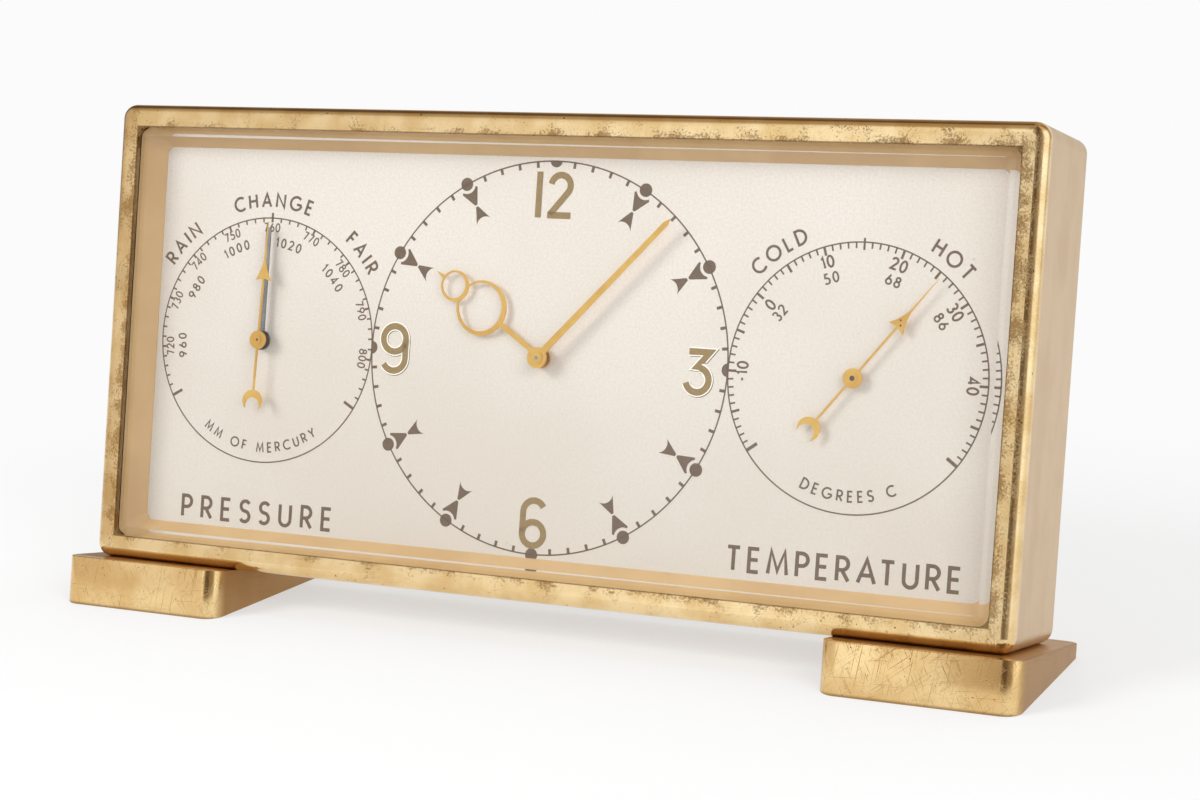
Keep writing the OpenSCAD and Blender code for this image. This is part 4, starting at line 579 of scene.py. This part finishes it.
LETTERS = {
    "A": (0.74, [[(0, 0), (0.37, 1), (0.74, 0)], [(0.13, 0.33), (0.61, 0.33)]]),
    "C": (0.78, [bow(0.5, 0.5, 0.5, 50, 310)]),
    "D": (0.68, [[(0.3, 1), (0, 1), (0, 0), (0.3, 0)], bow(0.2, 0.5, 0.5, -80, 80)]),
    "E": (0.44, [[(0.44, 1), (0, 1), (0, 0), (0.44, 0)], [(0, 0.52), (0.4, 0.52)]]),
    "F": (0.42, [[(0.42, 1), (0, 1), (0, 0)], [(0, 0.52), (0.38, 0.52)]]),
    "G": (0.94, [bow(0.5, 0.5, 0.5, 48, 350), [(0.56, 0.44), (0.99, 0.44)]]),
    "H": (0.62, [[(0, 0), (0, 1)], [(0.62, 0), (0.62, 1)], [(0, 0.52), (0.62, 0.52)]]),
    "I": (0.0, [[(0, 0), (0, 1)]]),
    "L": (0.38, [[(0, 1), (0, 0), (0.38, 0)]]),
    "M": (0.86, [[(0, 0), (0.12, 1), (0.43, 0.14), (0.74, 1), (0.86, 0)]]),
    "N": (0.68, [[(0, 0), (0, 1), (0.68, 0), (0.68, 1)]]),
    "O": (1.0, [bow(0.5, 0.5, 0.5, 0, 360, 1, 36)]),
    "P": (0.48, [[(0, 0), (0, 1), (0.24, 1)], bow(0.22, 0.73, 0.27, -90, 90),
                 [(0, 0.46), (0.24, 0.46)]]),
    "R": (0.5, [[(0, 0), (0, 1), (0.24, 1)], bow(0.22, 0.73, 0.27, -90, 90),
                [(0, 0.46), (0.22, 0.46), (0.52, 0)]]),
    "S": (0.46, [bow(0.24, 0.755, 0.245, 30, 270), bow(0.22, 0.255, 0.255, -150, 90)]),
    "T": (0.56, [[(0, 1), (0.56, 1)], [(0.28, 1), (0.28, 0)]]),
    "U": (0.58, [[(0, 1), (0, 0.29)], bow(0.29, 0.29, 0.29, 180, 360), [(0.58, 0.29), (0.58, 1)]]),
    "Y": (0.62, [[(0, 1), (0.31, 0.46), (0.62, 1)], [(0.31, 0.46), (0.31, 0)]]),
    "0": (0.54, [bow(0.27, 0.5, 0.27, 0, 360, 1.85, 32)]),
    "1": (0.16, [[(0, 0.8), (0.16, 1), (0.16, 0)]]),
    "2": (0.5, [bow(0.25, 0.74, 0.26, -38, 170), [(0.455, 0.58), (0, 0), (0.52, 0)]]),
    "3": (0.48, [bow(0.22, 0.76, 0.24, -80, 140), bow(0.22, 0.26, 0.26, -150, 85)]),
    "4": (0.54, [[(0.42, 0), (0.42, 1), (0, 0.26), (0.56, 0.26)]]),
    "5": (0.5, [[(0.44, 1), (0.12, 1), (0.05, 0.54)], bow(0.2, 0.3, 0.3, -145, 110)]),
    "6": (0.54, [bow(0.27, 0.29, 0.28, 0, 360, 1, 28), [(0.02, 0.36), (0.36, 1)]]),
    "7": (0.5, [[(0, 1), (0.5, 1), (0.14, 0)]]),
    "8": (0.5, [bow(0.25, 0.76, 0.22, 0, 360, 1, 28), bow(0.25, 0.27, 0.27, 0, 360, 1, 28)]),
    "9": (0.54, [bow(0.27, 0.71, 0.28, 0, 360, 1, 28), [(0.52, 0.64), (0.18, 0)]]),
    "-": (0.26, [[(0, 0.48), (0.26, 0.48)]]),
    " ": (0.3, []),
}


def pen(path, width, closed=False):
    """The outlines of a path drawn with a pen of this width."""
    points = [Vector(p) for p in path]
    sides = [[], []]
    last = len(points) - 1
    for i, point in enumerate(points):
        before = points[i - 1] if i or closed else None
        after = points[(i + 1) % len(points)] if i < last or closed else None
        first = (point - before).normalized() if before else (after - point).normalized()
        second = (after - point).normalized() if after else first
        along = (first + second).normalized()
        across = Vector((-along.y, along.x))
        reach = width / 2 / max(along.dot(first), 0.45)
        sides[0].append(tuple(point + across * reach))
        sides[1].append(tuple(point - across * reach))
    return [sides[0], sides[1]] if closed else [sides[0] + sides[1][::-1]]


def glyph(letter, height, weight, angle, at, shift):
    """The strokes of one letter, centred on shift and turned clockwise about at."""
    width, strokes = LETTERS[letter]
    shapes = []
    for stroke in strokes:
        path = [((x - width / 2) * (height - weight) + shift[0],
                 (y - 0.5) * (height - weight) + shift[1]) for x, y in stroke]
        closed = len(path) > LONGEST_OPEN_PATH
        shapes.append(ink(*[turned(o, angle, at) for o in pen(path, weight, closed)]))
    return shapes


def spread_out(words, gap, height, weight):
    """Each letter's width, and where the first letter starts if the words are centred."""
    widths = [LETTERS[c][0] * (height - weight) + weight for c in words]
    return widths, -(sum(widths) + gap * (len(words) - 1)) / 2


def curved_words(words, at, r, middle, gap, height, weight, upright=True):
    """Letters along a circle with gaps of this share of their height, tops outwards if upright."""
    gap = gap * height
    widths, along = spread_out(words, gap, height, weight)
    shapes = []
    for letter, width in zip(words, widths):
        turn = math.degrees((along + width / 2) / r)
        if upright:
            shapes += glyph(letter, height, weight, middle + turn, at, (0, r))
        else:
            shapes += glyph(letter, height, weight, middle - turn - 180, at, (0, -r))
        along += width + gap
    return shapes


def straight_words(words, centre, gap, height, weight):
    """Letters on a straight line. A T stands closer to an A before it."""
    gap = gap * height
    widths, along = spread_out(words, gap, height, weight)
    shapes = []
    for letter, width, after in zip(words, widths, words[1:] + " "):
        shapes += glyph(letter, height, weight, 0, centre, (along + width / 2, 0))
        along += width + gap * (AFTER_A if letter + after == "AT" else 1)
    return shapes


# %% [markdown]
# The barometer's scale runs from 710 to 810 millimetres of mercury, 24 degrees for every ten, with
# 760 at the top. The second row of numbers inside the ring is in hectopascals, and 1013.3 of them
# are at the top. Words outside the ring say what weather a reading stands for.

# %% Barometer print
RING_W = 0.28
MERCURY_TOP, MERCURY_TURN = 760, 2.4
HPA_TOP, HPA_TURN = 1013.3, 1.8
scale = [ring_line(BAROMETER, SIDE_R, RING_W)]
scale.append(ticks(BAROMETER, SIDE_R, SIDE_R - 0.9, 0.36,
                   [4.8 * i for i in range(-24, 25) if i % 5]))
scale.append(ticks(BAROMETER, SIDE_R, SIDE_R - 0.95, 0.45,
                   [24 * i for i in range(-4, 5) if i]))
scale.append(ticks(BAROMETER, SIDE_R + 1.1, SIDE_R - 0.9, 0.5, [0]))
scale.append(ticks(BAROMETER, SIDE_R, SIDE_R - 2.6, 0.6, [-120.3, 120.3]))
for number in range(720, 801, 10):
    scale += curved_words(str(number), BAROMETER, 23.65,
                          MERCURY_TURN * (number - MERCURY_TOP), 0.12, 1.95, 0.3)
mount(meshed(*scale), "barometer_scale_print", INK)

words = []
for text, middle in (("CHANGE", 0), ("RAIN", -48), ("FAIR", 49)):
    words += curved_words(text, BAROMETER, 29.3, middle, 0.3, 3.25, 0.52)
for number in range(960, 1041, 20):
    words += curved_words(str(number), BAROMETER, 20.6,
                          HPA_TURN * (number - HPA_TOP), 0.3, 2.1, 0.34)
words += curved_words("MM OF MERCURY", BAROMETER, 22.5, 180, 0.34, 2.2, 0.34, False)
mount(meshed(*words), "barometer_words_print", INK)

# %% [markdown]
# The thermometer's scale runs from -20 to 50 degrees Celsius, 3.6 degrees of turn for each, with 15
# at the top. The inner numbers are the same temperatures in Fahrenheit. Both are printed a little
# bolder than the barometer's, and 0 stands a little further in.

# %% Thermometer print
CELSIUS_TOP, CELSIUS_TURN = 15, 3.6
FAHRENHEIT_TOP, FAHRENHEIT_TURN = 59, 2.0
degrees_at = {t: CELSIUS_TURN * (t - CELSIUS_TOP) for t in range(-20, 51)}
scale = [ring_line(THERMOMETER, SIDE_R, RING_W)]
scale.append(ticks(THERMOMETER, SIDE_R, SIDE_R - 1.15, 0.34,
                   [a for t, a in degrees_at.items() if t % 5]))
scale.append(ticks(THERMOMETER, SIDE_R, SIDE_R - 1.7, 0.5,
                   [a for t, a in degrees_at.items()
                    if t % 5 == 0 and t not in (-20, CELSIUS_TOP, 50)]))
scale.append(ticks(THERMOMETER, SIDE_R + 0.8, SIDE_R - 1.5, 0.42, [0]))
scale.append(ticks(THERMOMETER, SIDE_R, SIDE_R - 2.5, 0.65, [-126, 126]))
for number in range(-10, 41, 10):
    number_r = 22.7 if number else 22.1
    scale += curved_words(str(number), THERMOMETER, number_r, degrees_at[number], 0.14, 2.5, 0.42)
mount(meshed(*scale), "thermometer_scale_print", INK)

words = []
for text, middle in (("COLD", -36), ("HOT", 37)):
    words += curved_words(text, THERMOMETER, 29.0, middle, 0.3, 3.2, 0.5)
for number in range(32, 87, 18):
    words += curved_words(str(number), THERMOMETER, 19.6,
                          FAHRENHEIT_TURN * (number - FAHRENHEIT_TOP), 0.2, 2.2, 0.36)
words += curved_words("DEGREES C", THERMOMETER, 22.2, 180, 0.34, 2.3, 0.36, False)
mount(meshed(*words), "thermometer_words_print", INK)

# %% Titles of the side dials
titles = straight_words("PRESSURE", (BAROMETER[0] + 0.2, -36.2), 0.4, 5.1, 0.74)
titles += straight_words("TEMPERATURE", (THERMOMETER[0] + 0.2, -35.9), 0.24, 5.15, 0.74)
mount(meshed(*titles), "titles_print", INK)

# %% [markdown]
# The four hour numbers are tall, narrow and of one stroke width, in bronze-coloured ink. Only the
# 3 and the 9 have a pale line round them. These two are drawn three times: a painted shadow, which
# is a dark copy moved right and down, then a painted highlight, the pale line that stands for the
# lit edge of a raised numeral, and the bronze face on top, each a hair higher than the one below.
# The 12 and the 6 are drawn once.

# %% Hour numbers
NUMERAL_W = 1.3
OUTLINE_W = NUMERAL_W + 0.5
two = circle(1.3, 34.3, 2.1, 16, -35, 172)[::-1]
NUMERALS = [
    [(-3.4, 36.95), (-3.4, 27.85)],
    two + [(-0.75, 28.6)],
    [(-1.35, 28.4), (3.75, 28.4)],
    [(31.0, 3.2), (35.3, 3.2), (32.9, 0.35), (33.6, 0.3)],
    circle(32.95, -2.25, 2.4, 16, -165, 78)[::-1],
    circle(0, -35.0, 2.35, 28, 0, 360),
    [(-2.35, -34.9), (-2.35, -30.9)] + circle(0, -30.7, 2.35, 12, 30, 178)[::-1],
    circle(-33.9, 2.0, 2.6, 28, 0, 360),
    [(-31.3, 1.9), (-31.3, -1.7)] + circle(-33.9, -1.9, 2.6, 12, -150, -2)[::-1],
]


LONGEST_OPEN_NUMERAL = 24
SIDE_NUMERAL_X = 20


def numeral_layer(paths, width, z, thickness, shift=0.0):
    """All the paths drawn with one pen, moved right and down by shift."""
    shapes = []
    for path in paths:
        moved = [(x + shift, y - shift) for x, y in path]
        shapes.append(drawn(pen(moved, width, len(path) > LONGEST_OPEN_NUMERAL), z, thickness))
    return meshed(*shapes)


outlined = [path for path in NUMERALS if abs(path[0][0]) > SIDE_NUMERAL_X]
# Painted shadow: a dark copy of the 3 and the 9, moved right and down, under the other layers.
edges = numeral_layer(outlined, OUTLINE_W, DIAL_FACE + 0.004, 0.02, 0.14)
mount(edges, "numeral_painted_shadow", INK)
# Painted highlight: a pale line round the 3 and the 9, standing for the lit edge of a raised numeral.
outlines = numeral_layer(outlined, OUTLINE_W, DIAL_FACE + 0.008, 0.03)
mount(outlines, "numeral_painted_highlight", HIGHLIGHT_INK)
faces = numeral_layer(NUMERALS, NUMERAL_W, DIAL_FACE + 0.01, 0.06)
numbers = mount(faces, "numeral_faces", GOLD_INK)
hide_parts("hour_numerals")

# %% [markdown]
# A foot is a solid brass wedge with rounded upright corners. It was filed and polished, so its
# long edges are soft too, and those soft edges catch the light. It starts as a block in the
# leaning case's frame, its upright corners are bevelled, the table plane cuts its underside off,
# and a small bevel breaks the remaining edges. It takes the place of the sharp-edged CAD wedge.

# %% Feet
CORNER_R, SOFT_EDGE = 3.6, 0.45
SCREW_DEPTHS = (7.2, 18.6)
SHANK_HOLE_R, HEAD_HOLE_R = 1.54, 2.84
DRILL_L = 30


def edges_where(piece, test):
    """Selects in edit mode the edges whose two ends pass the test."""
    bpy.ops.object.mode_set(mode="EDIT")
    bpy.ops.mesh.select_mode(type="EDGE")
    bpy.ops.mesh.select_all(action="DESELECT")
    bpy.ops.object.mode_set(mode="OBJECT")
    for edge in piece.data.edges:
        ends = [piece.data.vertices[i].co for i in edge.vertices]
        if test(*ends):
            edge.select = True
    bpy.ops.object.mode_set(mode="EDIT")


def wedge_foot(side):
    """The foot on one side, -1 for left and 1 for right, with its two screw holes."""
    bpy.ops.object.select_all(action="DESELECT")
    bpy.ops.mesh.primitive_cube_add(size=1)
    foot = bpy.context.object
    foot.scale = (FOOT_W, FOOT_H, FOOT_L)
    foot.location = (side * FOOT_X, -CASE_HALF - FOOT_H / 2, FOOT_AHEAD - FOOT_L / 2)
    bpy.ops.object.transform_apply(location=True, rotation=True, scale=True)
    edges_where(foot, lambda a, b: abs(a.y - b.y) > 1)
    bpy.ops.mesh.bevel(offset=CORNER_R, segments=10, affect="EDGES")
    bpy.ops.mesh.select_all(action="SELECT")
    front_bottom = Vector((0, -CASE_HALF - FOOT_H, FOOT_AHEAD))
    down = Vector((0, -math.cos(lean), -math.sin(lean)))
    bpy.ops.mesh.bisect(plane_co=front_bottom, plane_no=down, use_fill=True, clear_outer=True)
    bpy.ops.object.mode_set(mode="OBJECT")
    for depth in SCREW_DEPTHS:
        under = (FOOT_H - (depth + FOOT_AHEAD) * math.tan(lean)) * 0.45
        for r, top in ((SHANK_HOLE_R, 2.0), (HEAD_HOLE_R, -under)):
            bpy.ops.mesh.primitive_cylinder_add(
                vertices=40, radius=r, depth=DRILL_L, rotation=(math.radians(90), 0, 0),
                location=(side * FOOT_X, -CASE_HALF + top - DRILL_L / 2, -depth))
            drill = bpy.context.object
            only(foot)
            cut = foot.modifiers.new("screw hole", "BOOLEAN")
            cut.object = drill
            cut.solver = "EXACT"
            bpy.ops.object.modifier_apply(modifier=cut.name)
            bpy.data.objects.remove(drill)
    soft = foot.modifiers.new("soft edges", "BEVEL")
    soft.width = SOFT_EDGE
    soft.segments = 3
    soft.limit_method = "ANGLE"
    soft.angle_limit = math.radians(50)
    bpy.ops.object.modifier_apply(modifier=soft.name)
    bpy.ops.object.shade_smooth_by_angle(angle=math.radians(35))
    return foot


for side, node in ((-1, "left_foot"), (1, "right_foot")):
    foot = mount(wedge_foot(side), node + "_wedge", FEET)
    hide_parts(node)

# %% [markdown]
# The arrowhead of the thermometer's hand has two tiny dark dots. Each is a flattened ball, half
# sunk in the gilt. They ride on the hand.

# %% Dots on the arrowhead
THERMO_ANGLE = 38.5
HAND_FACE = -6.1
dots = []
for x, out in ((-0.32, 14.2), (0.32, 13.45)):
    bpy.ops.object.select_all(action="DESELECT")
    bpy.ops.mesh.primitive_uv_sphere_add(segments=16, ring_count=8, radius=0.2)
    dot = bpy.context.object
    px, py = turned([(x, out)], THERMO_ANGLE, THERMOMETER)[0]
    dot.scale.z = 0.3
    dot.location = (px, py, HAND_FACE)
    dots.append(dot)
only(*dots)
bpy.ops.object.join()
bpy.ops.object.shade_smooth_by_angle(angle=math.radians(60))
mount(bpy.context.object, "arrow_dots", DARK_DOT, "thermometer_pointer")

# %% Ends of the arbors in the hubs
def hub_end(name, at, cap_r, dot_r, z, dot, body):
    """A gilt rivet over the arbor's end, with a small dot in the middle."""
    cap = meshed(drawn([circle(*at, cap_r, 48)], z, 0.05, 0.02))
    mount(cap, name + "_hub_rivet", GILT, body)
    middle = meshed(drawn([circle(*at, dot_r, 32)], z + 0.04, 0.02))
    mount(middle, name + "_hub_dot", dot, body)


hub_end("minute", CLOCK, 1.3, 0.4, -4.3, HAND_STEEL, "minute")
hub_end("barometer", BAROMETER, 0.9, 0.26, -4.8, DARK_DOT, "barometer_pointer")
hub_end("thermometer", THERMOMETER, 0.9, 0.5, -6.0, DARK_DOT, "thermometer_pointer")

# %% [markdown]
# The table is a plain pale sheet. What the camera sees of it is lifted to the photograph's white
# by a little glow that only camera, mirror and glass rays meet, so the object isn't lit by it and
# its own soft shadow stays.

# %% Floor
WHITE = 0.965
SHADOW_FROM, SHADOW_TO = 0.17, 0.32
bpy.ops.object.select_all(action="DESELECT")
bpy.ops.mesh.primitive_plane_add(size=8, location=(0, 0, 0))
floor = bpy.context.object
floor.name = "floor"
paper, tree = blank_material("white paper floor")
ray = add(tree, "ShaderNodeLightPath")
seen = calc(tree, "MAXIMUM", ray.outputs["Is Camera Ray"], ray.outputs["Is Glossy Ray"])
seen = calc(tree, "MAXIMUM", seen, ray.outputs["Is Transmission Ray"])
glow = add(tree, "ShaderNodeEmission", {"Color": (1, 1, 1, 1), "Strength": 0.55})
matt = add(tree, "ShaderNodeBsdfDiffuse", {"Color": linear("#D6D6D5")})
faint = add(tree, "ShaderNodeBsdfDiffuse", {"Color": linear("#A6A7A8")})
total = add(tree, "ShaderNodeAddShader", {0: faint.outputs["BSDF"], 1: glow.outputs["Emission"]})
place = add(tree, "ShaderNodeTexCoord")
distance = add(tree, "ShaderNodeVectorMath", {0: place.outputs["Object"]}, operation="LENGTH")
fade = banded(tree, distance.outputs["Value"], SHADOW_FROM, SHADOW_TO)
white = add(tree, "ShaderNodeEmission", {"Color": (1, 1, 1, 1), "Strength": WHITE})
near = add(tree, "ShaderNodeMixShader", {0: fade.outputs["Result"], 1: total.outputs["Shader"],
                                         2: white.outputs["Emission"]})
either = add(tree, "ShaderNodeMixShader", {0: seen, 1: matt.outputs["BSDF"],
                                           2: near.outputs["Shader"]})
add(tree, "ShaderNodeOutputMaterial", {"Surface": either.outputs["Shader"]})
floor.data.materials.append(paper)

# %% [markdown]
# Polished brass shows the room more than it shows itself. In the photograph the flat rim mirrors a
# bright panel on the left, the round edge on the right runs through a dark gap where the
# photographer stood and then a bright panel, and the top edge mirrors a dark ceiling. The world
# holds that room for mirror rays only, as bright and dark bands by direction. The camera sees
# white, and soft lamps with an even sky light the matt surfaces.

# %% Studio room
world = bpy.data.worlds.new("studio")
bpy.context.scene.world = world
world.use_nodes = True
tree = world.node_tree
tree.nodes.clear()
way = add(tree, "ShaderNodeTexCoord")
parts = add(tree, "ShaderNodeSeparateXYZ", {0: way.outputs["Generated"]})
ahead = calc(tree, "MULTIPLY", parts.outputs["Y"], -1.0)
turn = calc(tree, "ARCTAN2", parts.outputs["X"], ahead)
around = add(tree, "ShaderNodeMapRange", {"Value": turn, "From Min": -math.pi,
                                          "From Max": math.pi})
room = add(tree, "ShaderNodeValToRGB", {0: around.outputs["Result"]})
# Directions in degrees round the clock, 0 in front and 90 on the right, with their brightness
BANDS = [(-180, 0.95), (-160, 0.6), (-132, 0.22), (-108, 0.25), (-84, 0.75), (-60, 0.82),
         (-34, 0.86), (-18, 1.2), (-11, 0.6), (-4, 0.16), (16, 0.13), (30, 0.32), (47, 0.36),
         (55, 0.75), (62, 1.3), (110, 1.3), (120, 0.6), (132, 0.5), (146, 0.6), (160, 0.95),
         (180, 0.95)]
DARK_WARMTH, LIGHT_WARMTH = 0.74, 0.25
ramp = room.color_ramp
ramp.interpolation = "EASE"
while len(ramp.elements) < len(BANDS):
    ramp.elements.new(0.5)
for element, (angle, level) in zip(ramp.elements, BANDS):
    warm = DARK_WARMTH + LIGHT_WARMTH * level
    element.position = (angle + 180) / 360
    element.color = (level, level * warm, level * warm ** 2, 1)
behind = calc(tree, "MAXIMUM", parts.outputs["Y"], 0.0)
raised = calc(tree, "MULTIPLY_ADD", behind, 0.3, parts.outputs["Z"])
height = banded(tree, raised, 0.62, 0.85)
ceiling = mixed(tree, height.outputs["Result"], (1, 1, 1, 1), (0.56, 0.46, 0.34, 1))
mirror = add(tree, "ShaderNodeMix", {0: 1.0, 6: room.outputs["Color"], 7: ceiling},
             data_type="RGBA", blend_type="MULTIPLY")
ray = add(tree, "ShaderNodeLightPath")
lit = add(tree, "ShaderNodeBackground", {"Color": (1.0, 0.98, 0.955, 1), "Strength": 0.52})
shiny = add(tree, "ShaderNodeBackground", {"Color": mirror.outputs[2], "Strength": 1.0})
white = add(tree, "ShaderNodeBackground", {"Color": (1, 1, 1, 1), "Strength": WHITE})
first = add(tree, "ShaderNodeMixShader", {0: ray.outputs["Is Glossy Ray"],
                                          1: lit.outputs["Background"],
                                          2: shiny.outputs["Background"]})
clear_ray = calc(tree, "MAXIMUM", ray.outputs["Is Camera Ray"],
                 ray.outputs["Is Transmission Ray"])
second = add(tree, "ShaderNodeMixShader", {0: clear_ray,
                                           1: first.outputs["Shader"],
                                           2: white.outputs["Background"]})
add(tree, "ShaderNodeOutputWorld", {"Surface": second.outputs["Shader"]})

# %% Lamps
CLOCK_MIDDLE = Vector((0, 0, 0.05))


def softbox(name, place, size, power):
    """A square lamp aimed at the clock, which no mirror, glass or camera sees."""
    bpy.ops.object.select_all(action="DESELECT")
    bpy.ops.object.light_add(type="AREA", location=place)
    lamp = bpy.context.object
    lamp.name = name
    lamp.data.shape = "SQUARE"
    lamp.data.size = size
    lamp.data.energy = power
    aim = CLOCK_MIDDLE - Vector(place)
    lamp.rotation_euler = aim.to_track_quat("-Z", "Y").to_euler()
    lamp.visible_glossy = False
    lamp.visible_camera = False
    lamp.visible_transmission = False


softbox("key", (-0.95, -1.15, 0.85), 0.7, 16.5)
softbox("fill", (0.95, -0.95, 0.7), 0.8, 8.8)
softbox("top", (0.0, 0.3, 1.1), 0.9, 3)

# %% Finish
bpy.context.scene.view_settings.view_transform = "Standard"
bpy.ops.object.select_all(action="DESELECT")
